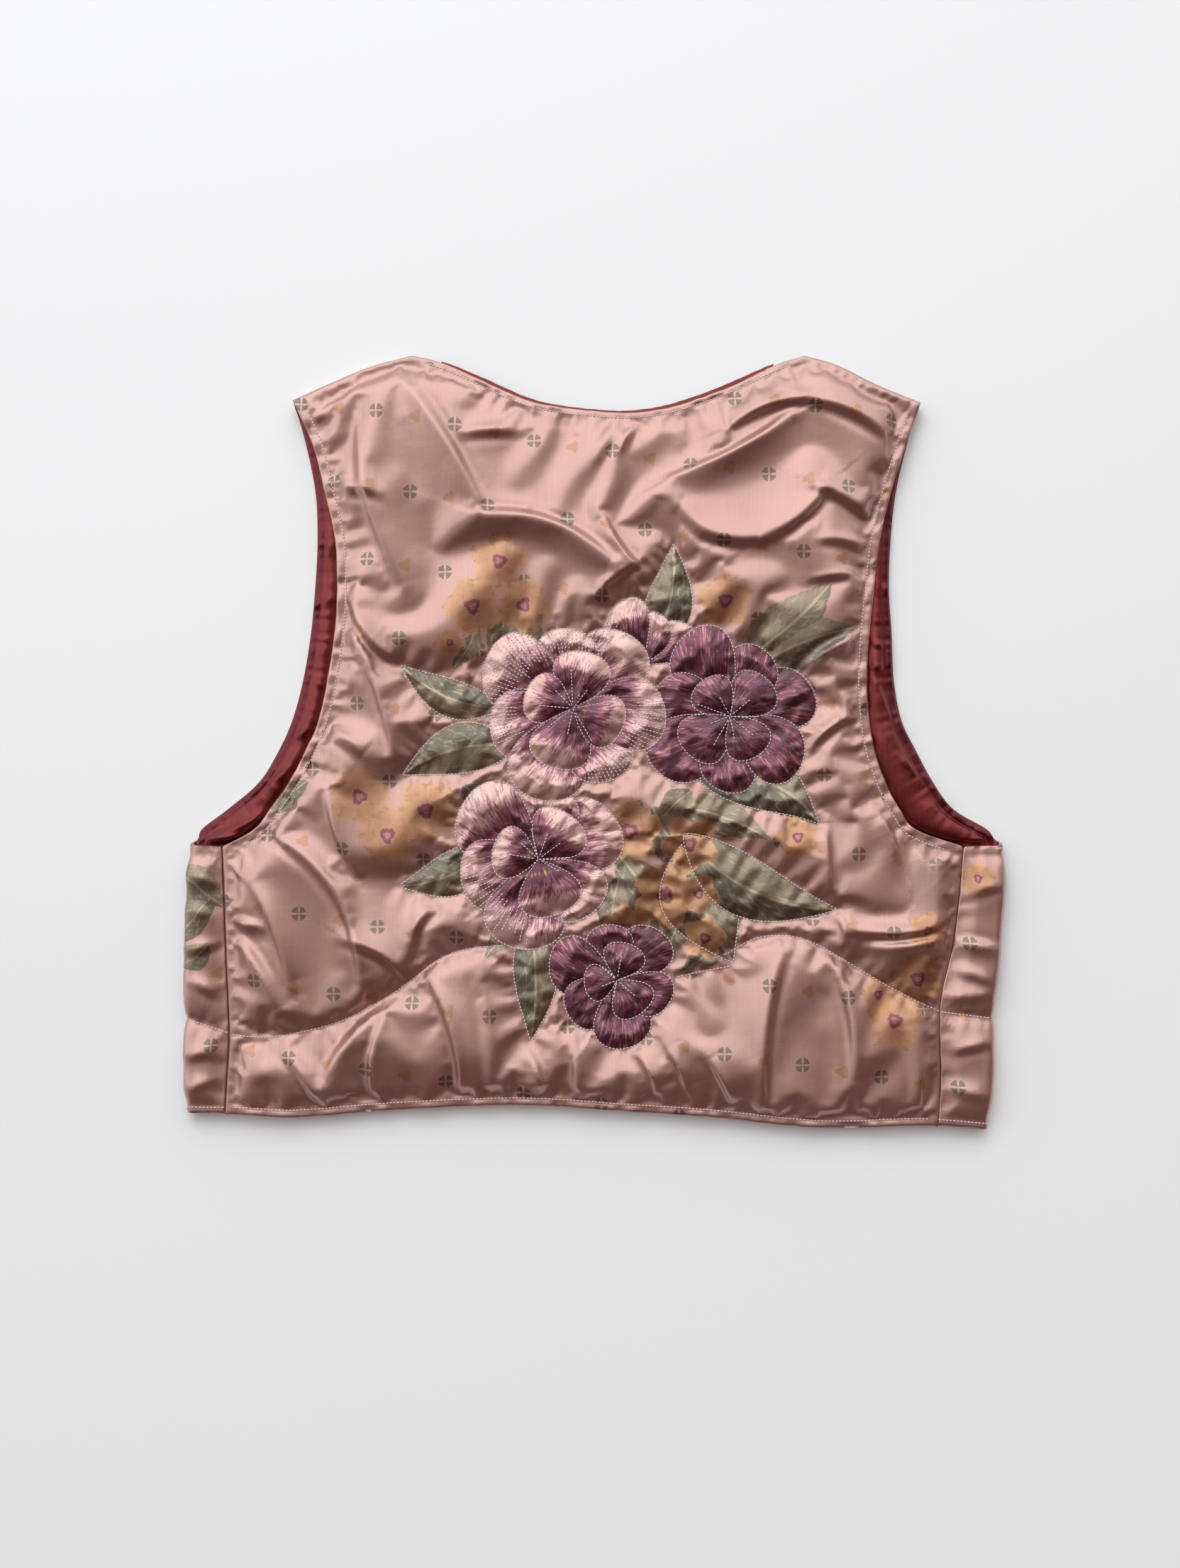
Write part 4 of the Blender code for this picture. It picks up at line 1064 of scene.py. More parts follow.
# Fronts
# Each front is one piece of the same satin, wadded as the back is. It lies under the back,
# wraps round the side and comes back on top as a narrow strip, sewn to the back's side seam.
FRONT_WALL, LINING_WALL, LAYER_GAP, SEAM_GAP = 5.0, 1.0, 0.3, 0.35
LOWER_MIDDLE, UPPER_MIDDLE = FRONT_WALL / 2, BACK_BASE + FRONT_WALL / 2
WRAP_RADIUS = (UPPER_MIDDLE - LOWER_MIDDLE) / 2
WRAP_CENTRE = (UPPER_MIDDLE + LOWER_MIDDLE) / 2
WRAP_LENGTH = math.pi * WRAP_RADIUS
WRAP_PROUD = 3.1
STRIP_LOFT, STRIP_CREASE_RISE = 4.4, 2.3
STRIP_PUCKERS = [Pucker(1.0, 4.6, 21, 6.5, 1, 1.6)]
STRIP_GROUND = Ground(0.8, 16, 23)
UNDERSIDE_GROUND = Ground(0.35, 13, 31)
SHOULDER_LIFT, UNDERSIDE_LIFT = 1.3, 0.8
CENTRE_FRONT, CENTRE_TOP = 1.6, 50.0
FRONT_HEM_SHORTER, FRONT_SHOULDER_SHORTER, FRONT_NECK_SHORTER = 0.8, 0.5, 0.8
FOLD_OUT, WAVE_RUN_ON = 6.0, 18.0
INNER_REACH, SHOULDER_NEAR, SHOULDER_FADE = 5.0, 8.0, 6.0
UNDERARM_EDGE, UNDERARM_UP = -65.5, -61.5
FRONT_NECK = [Place(98, 196), Place(70, 142), Place(38, 90), Place(12, 62)]
FRONT_ACROSS, FRONT_UP = 126, 236
FLAT_COLUMNS, FINE_STRETCH = 80, 34.0
SIGN = {"left": -1, "right": 1}
StripWave = namedtuple("StripWave", "fold_up seam_up")
STRIP_WAVES = {"left": StripWave(-176, -184.5), "right": StripWave(-175, -171.2)}
STRIP_CREASES = [
    Crease(-262, -82, -240, -90, 1, 5, 6, 1.6, 1.0),
    Crease(-262, -104, -244, -110, 1, 5, 6, 1.4, 1.0),
    Crease(-262, -132, -238, -126, -1, 6, 6, 1.8, 1.2),
    Crease(-258, -150, -240, -160, 1, 6, 6, 1.6, 1.5),
    Crease(-262, -200, -240, -196, 1, 7, 6, 1.6, 1.5),
    Crease(-260, -222, -242, -214, 1, 6, 6, 1.4, 1.5),
    Crease(222, -128, 258, -132, 2, 6, 7, 2.2, 1.0),
    Crease(236, -96, 260, -90, 1, 6, 6, 1.6, 1.2),
    Crease(228, -144, 252, -152, 1, 6, 6, 1.6, 1.2),
    Crease(224, -160, 254, -158, -2, 6, 6, 1.4, 1.0),
    Crease(226, -196, 252, -190, 1, 7, 6, 1.8, 1.5),
    Crease(224, -220, 250, -226, 1, 6, 6, 1.4, 1.5),
]


def spaced(line, shares):
    """Points of a line at the given shares of its length."""
    return at_lengths(line, shares * length(line))


def turn(hand, up):
    """Where the flat stretch of a front ends and its wrap round the side begins."""
    folds = np.abs(column(SIDES, "fold_" + hand))[::-1]
    return np.interp(up, column(SIDES, "up")[::-1], folds) - WRAP_RADIUS - WRAP_PROUD


def seam_place(hand, up):
    """Place of the side seam in the front's cut, past the wrap."""
    line = seams[hand]
    on_top = np.abs(np.interp(up, line[:, 1], line[:, 0])) + SEAM_GAP
    return 2 * turn(hand, up) + WRAP_LENGTH - on_top


def wrapped(hand, points, offset):
    """Places in space of a front's cut: flat, then half way round the side, then back on top."""
    across, up = points.T
    start = turn(hand, up)
    angle = np.clip((across - start) / WRAP_RADIUS, 0, math.pi)
    back_in = np.maximum(across - start - WRAP_LENGTH, 0)
    reach = WRAP_RADIUS + offset
    plan = np.minimum(across, start) - back_in + reach * np.sin(angle)
    return np.column_stack([SIGN[hand] * plan, up, WRAP_CENTRE - reach * np.cos(angle)])


def front_lines(hand):
    """The four edges of a front's cut: hem, shoulder, centre with neck, and seam with armhole."""
    low = on_hem(SIGN[hand] * (turn(hand, SIDES[-1].up) + FOLD_OUT)) + FRONT_HEM_SHORTER
    across = np.linspace(CENTRE_FRONT, seam_place(hand, low), 160)
    plan = wrapped(hand, np.column_stack([across, np.full(160, low)]), 0)[:, 0]
    hem = np.column_stack([across, on_hem(plan) + FRONT_HEM_SHORTER])
    ups = np.linspace(hem[-1, 1], SIDES[0].up, 60)
    seam = np.column_stack([seam_place(hand, ups), ups])
    edge = np.column_stack([np.abs(column(ARMHOLES, "front_" + hand)), column(ARMHOLES, "up")])
    tip = np.abs(SHOULDER_TIPS[0 if hand == "left" else 1]) - (0, FRONT_SHOULDER_SHORTER)
    start = turn(hand, UNDERARM_EDGE)
    under = [(start + WRAP_LENGTH + 6, UNDERARM_EDGE), (start + WRAP_LENGTH, UNDERARM_EDGE),
             (start + WRAP_LENGTH / 2, UNDERARM_EDGE + 1.2), (start, UNDERARM_UP)]
    armhole = curve([seam[-1], *under, *edge, tip], 160)
    on_shoulder = SHOULDER_LEFT if hand == "left" else SHOULDER_RIGHT
    on_shoulder = [(abs(place.across), place.up - FRONT_SHOULDER_SHORTER) for place in on_shoulder]
    neck_point = np.abs(NECK_POINTS[0 if hand == "left" else 1]) - (0, FRONT_NECK_SHORTER)
    shoulder = curve([neck_point, *on_shoulder, tip], 60)
    neck = [(place.across * neck_point[0] / abs(NECK_POINTS[0].across), place.up) for place in FRONT_NECK]
    neck = curve([(CENTRE_FRONT, CENTRE_TOP), *neck[::-1], neck_point], 120)
    centre = [(CENTRE_FRONT, hem[0, 1]), (CENTRE_FRONT, CENTRE_TOP)]
    return hem, shoulder, np.vstack([centre[:1], neck]), np.vstack([seam, armhole[1:]]), armhole


def inner_rise(gap, shoulder_gap):
    """Height of a front's inner face over the middle of its wall: thin at edges and shoulder."""
    rise = EDGE_WALL - LOWER_MIDDLE + (FRONT_WALL - EDGE_WALL) * rounded(gap, INNER_REACH)
    near_shoulder = np.clip((SHOULDER_NEAR - shoulder_gap) / SHOULDER_FADE, 0, 1)
    return rise + near_shoulder * (LOWER_MIDDLE + SHOULDER_LIFT - rise)


FrontCut = namedtuple("FrontCut", "hem shoulder inner outer armhole")
front_cuts = {}
for hand in ("left", "right"):
    cut = FrontCut(*front_lines(hand))
    front_cuts[hand] = cut
    side_share = 1 - (WRAP_LENGTH + FINE_STRETCH) / length(cut.hem)
    flat_shares = np.linspace(0, side_share, FLAT_COLUMNS + 1)[:-1]
    shares = np.r_[flat_shares, np.linspace(side_share, 1, FRONT_ACROSS - FLAT_COLUMNS + 1)]
    rows = np.linspace(0, 1, FRONT_UP + 1)
    ends = (spaced(cut.hem, shares), spaced(cut.shoulder, shares))
    points = coons(*ends, spaced(cut.inner, rows), spaced(cut.outer, rows), shares, rows).reshape(-1, 2)
    start = turn(hand, points[:, 1])
    wave = STRIP_WAVES[hand]
    fold = turn(hand, wave.fold_up)
    wave_line = np.array([
        (fold - WAVE_RUN_ON, wave.fold_up + 1), (fold + WRAP_LENGTH, wave.fold_up),
        (seam_place(hand, wave.seam_up), wave.seam_up)])
    seam_line = np.column_stack([seam_place(hand, seams[hand][:, 1]), seams[hand][:, 1]])
    hem_seam = inset(cut.hem, HEM_STITCH)
    edges = nearest(points, [cut.hem, cut.shoulder, cut.inner, cut.outer])
    sewing = nearest(points, [seam_line, wave_line, hem_seam, inset(cut.armhole, ARMHOLE_STITCH)])
    shoulder_gap = nearest(points, [cut.shoulder]).gap
    round_side = (points[:, 0] - start) / WRAP_LENGTH
    on_top = eased(round_side)
    over = SIGN[hand] * (2 * start + WRAP_LENGTH - points[:, 0])
    top_points = np.column_stack([over, points[:, 1]])
    sewn_gap = np.minimum(sewing.gap, edges.gap * 1.2)
    puff = STRIP_LOFT * rounded(sewn_gap, 8.0) * (0.2 + 0.8 * eased(edges.gap / 12))
    creased = STRIP_CREASE_RISE * creasing(top_points, STRIP_CREASES) * rounded(sewn_gap, 4.0)
    puff += creased * (0.3 + 0.7 * eased(round_side - 0.5))
    puff += puckering(sewing.along, sewn_gap, STRIP_PUCKERS)
    puff += STRIP_GROUND.rise * swell(top_points, *STRIP_GROUND[1:]) * rounded(sewn_gap, 5.0)
    strip_outer = np.maximum(EDGE_WALL - LOWER_MIDDLE + puff, -1.0)
    pressed = 1 + swell(points, *UNDERSIDE_GROUND[1:])
    pressed = UNDERSIDE_GROUND.rise * pressed + 0.5 * np.exp(-sewing.gap / 3)
    flat_outer = LOWER_MIDDLE - UNDERSIDE_LIFT * np.exp(-edges.gap) - pressed * rounded(edges.gap, 4.0)
    outer_side = wrapped(hand, points, flat_outer + on_top * (strip_outer - flat_outer))
    flat_inner = inner_rise(edges.gap, shoulder_gap)
    inner_side = wrapped(hand, points, -(flat_inner + on_top * (LOWER_MIDDLE - flat_inner)))
    loop = border(FRONT_UP + 1, len(shares))
    middle_ring = (outer_side[loop] + inner_side[loop]) / 2
    count = len(points)
    shell = np.vstack([outer_side, inner_side, middle_ring])
    faces = grid_faces(outer_side, FRONT_UP + 1, len(shares), np.zeros(count, bool))
    ring = np.arange(len(loop)) + 2 * count
    rolled = np.vstack([band(ring, loop), band(loop + count, ring)])
    all_faces = np.vstack([faces, faces[:, ::-1] + count, rolled])
    if hand == "right":
        all_faces = all_faces[:, ::-1]
    front = cloth_piece(
        "front_panel_" + hand, shell, all_faces[:, ::-1].tolist(), [SATIN, LINING],
        np.repeat([0, 1, 0], [len(faces), len(faces), len(rolled)]))
    print_on(front, np.vstack([top_points, top_points, top_points[loop]]))
    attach(front, "root")
    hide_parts("front_" + hand)

# Front linings
# Where the armholes show the inside of the fronts, the lining is a dark rust satin, slack
# over the wadding and stitched down in a band along the armhole.
LINING_EDGE = [
    Place(192, -86), Place(160, -40), Place(148, 10), Place(137, 60),
    Place(133, 110), Place(134, 160), Place(141, 204),
]
LINING_TOP_UP = 206
LINING_TOP_WIDTH = 43.0
LINING_INSET = 0.7
LINING_BAND, BAND_REACH = 5.4, 2.5
LINING_ROUND, LINING_ROUND_REACH = 0.5, 0.6
FREE_BEFORE, FREE_REACH, UNDERARM_REACH = 2.0, 8.0, 5.0
MOST_BELLY, BELLY_SHARE, BELLY_LEAN = 7.0, 0.2, 0.8
SLACK_RISE = 2.2
LINING_RIPPLE = Ground(1.2, 3.0, 41)
LINING_GROUND = Ground(1.0, 14, 43)
LINING_ACROSS, LINING_UP = 46, 230
LINING_CREASES = [
    Crease(-262, -66, -214, -62, 4, 5, 8, 1.6, 1.0),
    Crease(-240, -58, -200, -36, -3, 5, 7, 1.5, 1.0),
    Crease(-220, -40, -190, -14, 2, 6, 5, 1.3, 1.0),
    Crease(-196, 2, -172, 10, 1, 5, 5, 1.2, 0.8),
    Crease(-190, 40, -168, 34, 1, 5, 5, 1.2, 0.8),
    Crease(-184, 84, -166, 92, 1, 5, 5, 1.2, 0.8),
    Crease(-180, 128, -166, 122, 1, 5, 5, 1.0, 0.8),
    Crease(262, -62, 214, -40, 3, 7, 5, 1.6, 1.0),
    Crease(238, -54, 192, -8, -2, 6, 6, 1.6, 1.2),
    Crease(206, -22, 186, 12, 2, 5, 6, 1.4, 1.0),
    Crease(198, 6, 176, 44, 2, 6, 5, 1.3, 0.8),
    Crease(192, 52, 174, 48, 1, 4, 5, 1.4, 0.6),
    Crease(190, 58, 176, 66, 1, 4, 5, 1.2, 0.6),
    Crease(190, 96, 176, 108, 1, 5, 5, 1.2, 0.8),
]
for hand in ("left", "right"):
    cut = front_cuts[hand]
    low = LINING_EDGE[0].up
    rows = np.linspace(0, 1, LINING_UP + 1)
    shares = np.linspace(0, 1, LINING_ACROSS + 1)
    before_wrap = cut.armhole[:, 0] < turn(hand, UNDERARM_UP)
    edge = inset(cut.armhole[before_wrap & (cut.armhole[:, 1] < LINING_TOP_UP)], LINING_INSET)
    inner_top = (edge[-1, 0] - LINING_TOP_WIDTH, LINING_TOP_UP - 2)
    inner = curve([(turn(hand, low), low), *LINING_EDGE[1:], inner_top], 120)
    bottom = np.array([inner[0], edge[0]])
    top = np.array([inner[-1], edge[-1]])
    ends = (spaced(bottom, shares), spaced(top, shares))
    points = coons(*ends, spaced(inner, rows), spaced(edge, rows), shares, rows).reshape(-1, 2)
    to_edge = nearest(points, [cut.outer, cut.hem, cut.inner, cut.shoulder]).gap
    to_shoulder = nearest(points, [cut.shoulder]).gap
    under = LOWER_MIDDLE + inner_rise(to_edge, to_shoulder) + LAYER_GAP
    world = points * (SIGN[hand], 1)
    back_edge_line = armholes[hand]
    covered = np.abs(np.interp(points[:, 1], back_edge_line[:, 1], back_edge_line[:, 0]))
    free = eased((points[:, 0] - covered + FREE_BEFORE) / FREE_REACH)
    band_line = nearest(points, [inset(cut.armhole, LINING_BAND)])
    open_gap = nearest(world, [back_edge_line]).gap * (points[:, 0] > covered)
    inner_gap = band_line.gap * (to_edge > LINING_BAND)
    breadth = open_gap + inner_gap
    share = open_gap / np.maximum(breadth, 1)
    belly = MOST_BELLY * np.tanh(BELLY_SHARE * breadth / MOST_BELLY) * np.sin(math.pi * share**BELLY_LEAN)
    gathers = LINING_RIPPLE.rise * ripple(band_line.along, *LINING_RIPPLE[1:]) * np.exp(-band_line.gap / 5)
    slack = SLACK_RISE * creasing(world, LINING_CREASES) + gathers
    slack += LINING_GROUND.rise * swell(world, *LINING_GROUND[1:]) + belly
    slack *= rounded(band_line.gap, BAND_REACH) * free
    slack *= eased((points[:, 1] - UNDERARM_EDGE) / UNDERARM_REACH)
    edge_round = LINING_ROUND * np.exp(-np.maximum(to_edge - LINING_INSET, 0) / LINING_ROUND_REACH)
    upper = under + LINING_WALL + np.maximum(slack, -0.5) - edge_round
    count = len(points)
    loop = border(LINING_UP + 1, LINING_ACROSS + 1)
    shell = np.vstack([np.column_stack([world, upper]), np.column_stack([world, under])])
    faces = grid_faces(shell[:count], LINING_UP + 1, LINING_ACROSS + 1, np.zeros(count, bool))
    all_faces = np.vstack([faces, faces[:, ::-1] + count, band(loop + count, loop)])
    if hand == "left":
        all_faces = all_faces[:, ::-1]
    lining = cloth_piece("lining_" + hand, shell, all_faces.tolist(), [LINING])
    mark(lining, "band", np.tile(eased((LINING_BAND + 0.3 - to_edge) / 0.6), 2))
    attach(lining, "root")
    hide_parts("front_lining_" + hand)
    "front_panel_" + hand

# Back neck lining
# The lining of the back is turned under at the neck and rolls out past the satin, so that
# a dark line of it shows above the neck's topstitching.
NeckPeek = namedtuple("NeckPeek", "across beyond")
NECK_PEEK = [
    NeckPeek(-98, 1.6), NeckPeek(-70, 3.0), NeckPeek(-40, 2.4), NeckPeek(-10, 1.6),
    NeckPeek(20, 2.0), NeckPeek(60, 3.0), NeckPeek(90, 3.4), NeckPeek(114, 2.0),
]
NECK_LINING_DEPTH = 10.0
NECK_STEPS, ROLL_STEPS = 240, 16
ROLL_SQUARENESS = 0.35
across = np.linspace(NECK_PEEK[0].across, NECK_PEEK[-1].across, NECK_STEPS)
neck_up = np.interp(across, *neck_line.T)
beyond = np.interp(across, *zip(*NECK_PEEK)) + 0.15 * ripple(across, 3.0, 51)
around = np.linspace(0, 2 * math.pi, ROLL_STEPS, endpoint=False)
half = LINING_WALL / 2
depth = NECK_LINING_DEPTH / 2
bulge = np.sign(np.cos(around)) * np.abs(np.cos(around)) ** ROLL_SQUARENESS
up_places = (neck_up + beyond)[:, None] - depth + depth * bulge[None, :]
high = BACK_BASE - LAYER_GAP - half + half * np.sin(around)[None, :] + np.zeros((NECK_STEPS, 1))
tube = np.stack([np.broadcast_to(across[:, None], up_places.shape), up_places, high], axis=2).reshape(-1, 3)
number = np.arange(NECK_STEPS * ROLL_STEPS).reshape(NECK_STEPS, ROLL_STEPS)
a, b = number[:-1], np.roll(number, -1, axis=1)[:-1]
c, d = np.roll(number, -1, axis=1)[1:], number[1:]
walls = np.stack([a, d, c, b], axis=2).reshape(-1, 4)
neck_lining = cloth_piece(
    "neck_lining", tube, walls.tolist() + [number[0].tolist(), number[-1, ::-1].tolist()], [LINING])
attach(neck_lining, "root")
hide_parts("back_neck_lining")

# Stitching
# Pale lilac-grey machine thread, one short bead of it for each stitch: the quilting, the
# topstitching, the shading strokes on the pale flowers and the stamens.
Ring = namedtuple("Ring", "along size lift")
STITCH_RINGS = [Ring(0.12, 0.8, 0.14), Ring(0.5, 1.0, 0.42), Ring(0.88, 0.8, 0.14)]
STITCH_SIDES = 5
STITCH_PITCH, STITCH_GAP = 2.3, 0.45
THREAD = 0.31
STITCH_SINKS = 0.12
HEM_STITCH_UP = -232.0
RAY_FROM = 0.1
Stroke = namedtuple("Stroke", "flower count start end first last")
STROKES = [
    Stroke(4, 46, 0.62, 1.02, 62, 205), Stroke(4, 30, 0.66, 1.0, -80, 8),
    Stroke(3, 16, 0.60, 0.92, 190, 262),
]
STAMEN_START = 0.12
Stamen = namedtuple("Stamen", "flower count reach first last")
STAMENS = [
    Stamen(1, 9, 18, 0, 320), Stamen(2, 6, 14, 20, 320),
    Stamen(3, 7, 18, -30, 170), Stamen(4, 8, 20, 10, 300),
]


def stitches(line):
    """Ends of the stitches that follow a line at an even pitch, with a short gap between two."""
    size = length(line)
    count = max(int(round(size / STITCH_PITCH)), 1)
    starts = np.arange(count) * size / count + STITCH_GAP / 2
    ends = starts + size / count - STITCH_GAP
    return np.stack([at_lengths(line, starts), at_lengths(line, ends)], axis=1)


def fanned(row):
    """A flower's heart, its reach, and the angles and directions of lines that fan out over it."""
    flower = FLOWERS[row.flower]
    around = np.radians(np.linspace(row.first, row.last, row.count))
    away = np.stack([np.cos(around), np.sin(around)], axis=1)
    return np.array([flower.across, flower.up]), flower.reach, around, away


def strokes(row):
    """Straight lines that fan out over a flower, from one share of its reach to another."""
    heart, reach, around, away = fanned(row)
    uneven = 1 + 0.07 * np.sin(17 * around) + 0.05 * np.cos(41 * around)
    return [heart + np.outer([row.start * u, row.end * u], way) * reach for way, u in zip(away, uneven)]


def stamens(row):
    """Lines from a flower's heart, each a little longer or shorter than the last."""
    heart, _, around, away = fanned(row)
    reach = row.reach * (1 + 0.25 * np.sin(5 * around))
    return [heart + np.outer([STAMEN_START, 1.0], way * out) for way, out in zip(away, reach)]


def mesh_lists(name):
    """Corners and faces of a finished piece."""
    mesh = bpy.data.objects[name].data
    return [vertex.co for vertex in mesh.vertices], [tuple(face.vertices) for face in mesh.polygons]


def on_cloth(piece_names, points):
    """Height of the satin under each point, by a ray straight down on to the finished pieces."""
    trees = [BVHTree.FromPolygons(*mesh_lists(name)) for name in piece_names]
    down = Vector((0, 0, -1))
    heights = []
    for across, up in points:
        hits = [tree.ray_cast(Vector((across * MM, up * MM, RAY_FROM)), down)[0] for tree in trees]
        heights.append(max([hit.z for hit in hits if hit], default=0.0))
    return np.array(heights) / MM


def thread_mesh(ends, heights):
    """Vertices and faces of all stitches: a bead's rings carried from end to end of each, raised mid way.

    A ring's place is start + along * run + lift up, and its radius is the thread's times its size.
    """
    start = np.column_stack([ends[:, 0], heights[:, 0]])
    run = np.column_stack([ends[:, 1], heights[:, 1]]) - start
    way = run / np.linalg.norm(run, axis=1)[:, None]
    side = np.cross(way, (0, 0, 1))
    side /= np.linalg.norm(side, axis=1)[:, None]
    upward = np.cross(side, way)
    around = np.linspace(0, 2 * math.pi, STITCH_SIDES, endpoint=False)
    loops = [(start - STITCH_SINKS * upward)[:, None]]
    for ring in STITCH_RINGS:
        centre = start + ring.along * run + ring.lift * upward
        loop = centre[:, None] + THREAD * ring.size * (
            np.cos(around)[None, :, None] * side[:, None] + np.sin(around)[None, :, None] * upward[:, None])
        loops.append(loop)
    loops.append((start + run - STITCH_SINKS * upward)[:, None])
    places = np.concatenate(loops, axis=1)
    size = places.shape[1]
    each = np.arange(STITCH_SIDES)
    onward = (each + 1) % STITCH_SIDES
    faces = [np.stack([0 * each, 1 + onward, 1 + each], 1)]
    for ring in range(len(STITCH_RINGS) - 1):
        low, high = 1 + ring * STITCH_SIDES, 1 + (ring + 1) * STITCH_SIDES
        faces += [np.stack([low + each, low + onward, high + onward], 1),
                  np.stack([low + each, high + onward, high + each], 1)]
    last = 1 + (len(STITCH_RINGS) - 1) * STITCH_SIDES
    faces.append(np.stack([last + each, last + onward, np.full(STITCH_SIDES, size - 1)], 1))
    faces = np.vstack(faces)
    every = (faces[None] + size * np.arange(len(ends))[:, None, None]).reshape(-1, 3)
    return places.reshape(-1, 3), every


def sewing_thread():
    """Smooth lilac-grey thread with a soft gloss, its two plies a fine uneven mottle."""
    finish = Finish("sewing_thread", Specular_IOR_Level=0.6, Sheen_Weight=0.3)
    place = finish.node("ShaderNodeTexCoord", {}, {}, "Object")
    plies = finish.noise(place, 2600.0, 1.0)
    cloud = finish.noise(place, 40.0, 2.0)
    colour = finish.blend(cloud, tint(232, 218, 224), tint(214, 198, 208))
    colour = finish.blend(finish.ramp(plies, 0.35, 0.6) * 0.35, colour, tint(176, 158, 168))
    finish.feed("Base Color", colour)
    finish.feed("Roughness", 0.34 + plies * 0.2)
    finish.relief(plies, 0.4, 0.0001)
    return finish.material


sewn_lines = list(quilting) + waves
for hand in ("left", "right"):
    wave = STRIP_WAVES[hand]
    fold = turn(hand, wave.fold_up) + WRAP_RADIUS * 0.7
    at_seam = 2 * turn(hand, wave.seam_up) + WRAP_LENGTH - seam_place(hand, wave.seam_up)
    sewn_lines.append(np.array([(SIGN[hand] * fold, wave.fold_up), (SIGN[hand] * at_seam, wave.seam_up)]))
sewn_lines += [line[4:-4] for line in topstitching]
for hand in ("left", "right"):
    out_to = SIGN[hand] * (turn(hand, HEM_STITCH_UP) + FOLD_OUT)
    hem_run = np.linspace(out_to, seams[hand][0, 0], 30)
    sewn_lines.append(np.column_stack([hem_run, on_hem(hem_run) + HEM_STITCH]))
for row in STAMENS:
    sewn_lines += stamens(row)
shading = np.concatenate([stitches(line) for row in STROKES for line in strokes(row)])
on_petals = in_shapes(shading.reshape(-1, 2), [motif for motif in motifs if motif.kind == PALE])
shading = shading[on_petals.reshape(-1, 2).all(axis=1)]
ends = np.concatenate([stitches(line) for line in sewn_lines] + [shading])
satin_pieces = ["back_panel", "front_panel_left", "front_panel_right"]
heights = on_cloth(satin_pieces, ends.reshape(-1, 2)).reshape(-1, 2)
places, faces = thread_mesh(ends, heights)
thread = cloth_piece("stitching", places, faces.tolist(), [sewing_thread()])
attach(thread, "root")

# Stage
# A plain pale table, the camera straight above the garment as it was photographed, and a
# room that is bright past the shoulders, middling overhead and dim past the hem.
FLOOR_SIZE = 6.0
bpy.ops.mesh.primitive_plane_add(size=FLOOR_SIZE, location=(0, 0, -0.0002))
floor = bpy.context.object
floor.name = "table_top"
paper = Finish("table_white", Roughness=0.9, Specular_IOR_Level=0.1)
paper.shader.inputs["Base Color"].default_value = (*tint(229, 231, 231), 1)
floor.data.materials.append(paper.material)

CAMERA_OVER, CAMERA_HEIGHT, FIELD_HEIGHT = (-3.15, -26.1), 950.0, 995.4
GARMENT_TOP = 12.0
camera_data = bpy.data.cameras.new("camera")
camera_data.sensor_fit = "VERTICAL"
camera_data.sensor_height = 36.0
camera_data.lens = camera_data.sensor_height * (CAMERA_HEIGHT - GARMENT_TOP) / FIELD_HEIGHT
camera = bpy.data.objects.new("camera", camera_data)
camera.location = (CAMERA_OVER[0] * MM, CAMERA_OVER[1] * MM, CAMERA_HEIGHT * MM)
scene.collection.objects.link(camera)
scene.camera = camera

RoomBand = namedtuple("RoomBand", "towards_window colour")
ROOM = [
    RoomBand(-0.55, (0.12, 0.045, 0.04)), RoomBand(-0.22, (0.46, 0.37, 0.35)),
    RoomBand(0.06, (0.56, 0.50, 0.48)), RoomBand(0.30, (1.50, 1.55, 1.60)),
]
WINDOW_WAY = (-0.34, 0.94, 0.0)
BACKDROP = (0.78, 0.79, 0.81)
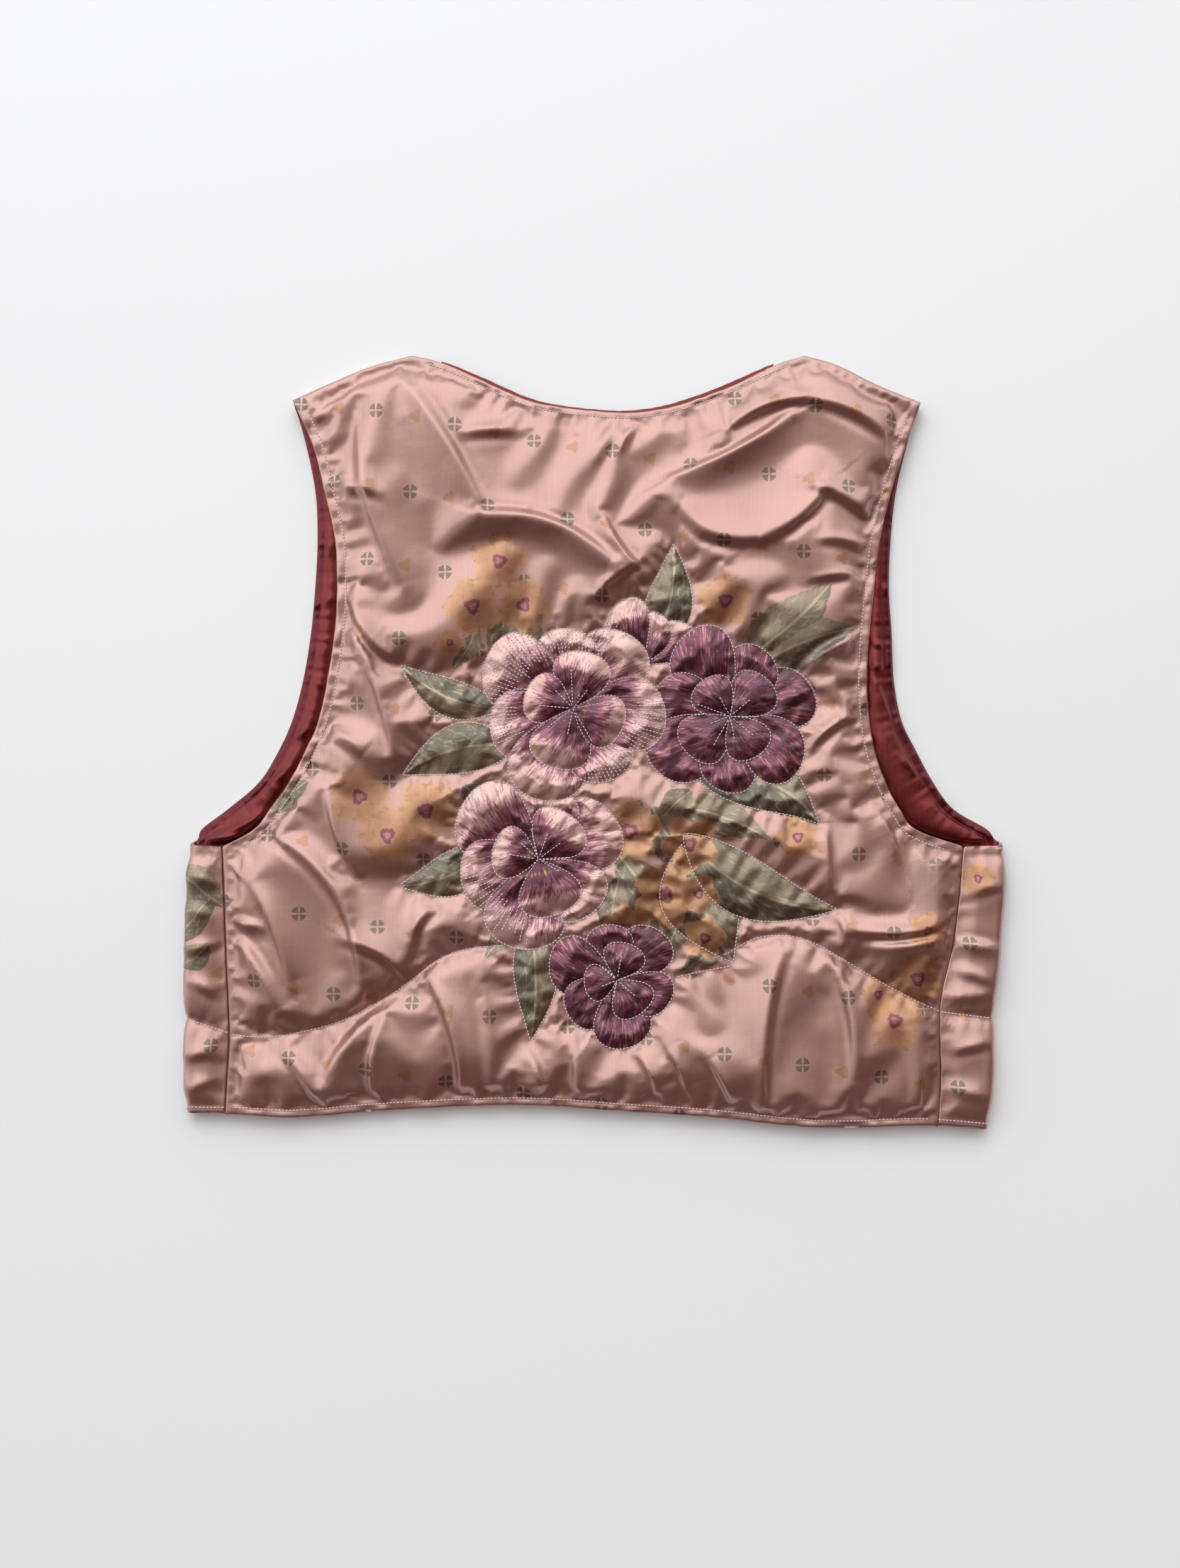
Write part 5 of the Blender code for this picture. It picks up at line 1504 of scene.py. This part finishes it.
# The window lights the cloth and isn't mirrored in it, and its fainter pane is
Lamp = namedtuple("Lamp", "name place size power colour mirrored")
LAMPS = [
    Lamp("window", (-0.5, 1.9, 1.7), (1.8, 1.2), 23.0, (0.97, 0.99, 1.0), False),
    Lamp("pane", (-0.3, 1.1, 1.0), (2.0, 1.4), 3.6, (0.97, 0.99, 1.0), True),
]
for row in LAMPS:
    data = bpy.data.lights.new(row.name, "AREA")
    data.shape = "RECTANGLE"
    data.size, data.size_y = row.size
    data.energy = row.power
    data.color = row.colour
    lamp = bpy.data.objects.new(row.name, data)
    lamp.location = row.place
    lamp.rotation_euler = (-Vector(row.place)).to_track_quat("-Z", "Y").to_euler()
    lamp.visible_glossy = row.mirrored
    scene.collection.objects.link(lamp)
world = bpy.data.worlds.new("room")
world.use_nodes = True
links, nodes = world.node_tree.links, world.node_tree.nodes
facing = nodes.new("ShaderNodeTexCoord")
window_side = nodes.new("ShaderNodeVectorMath")
window_side.operation = "DOT_PRODUCT"
window_side.inputs[1].default_value = WINDOW_WAY
glow = nodes.new("ShaderNodeMapRange")
glow.inputs["From Min"].default_value = -1.0
glow.inputs["From Max"].default_value = 1.0
wall = nodes.new("ShaderNodeValToRGB")
wall.color_ramp.interpolation = "EASE"
while len(wall.color_ramp.elements) < len(ROOM):
    wall.color_ramp.elements.new(0.5)
for stop, row in zip(wall.color_ramp.elements, ROOM):
    stop.position = (row.towards_window + 1) / 2
    stop.color = (*row.colour, 1)
links.new(facing.outputs["Generated"], window_side.inputs[0])
links.new(window_side.outputs["Value"], glow.inputs["Value"])
links.new(glow.outputs["Result"], wall.inputs[0])
# Past the table the camera itself sees a plain pale wall
seen = nodes.new("ShaderNodeLightPath")
backdrop = nodes.new("ShaderNodeMix")
backdrop.data_type = "RGBA"
backdrop.inputs[7].default_value = (*BACKDROP, 1)
links.new(seen.outputs["Is Camera Ray"], backdrop.inputs[0])
links.new(wall.outputs["Color"], backdrop.inputs[6])
links.new(backdrop.outputs[2], nodes["Background"].inputs["Color"])
nodes["Background"].inputs["Strength"].default_value = 1.0
scene.world = world
scene.view_settings.view_transform = "Standard"
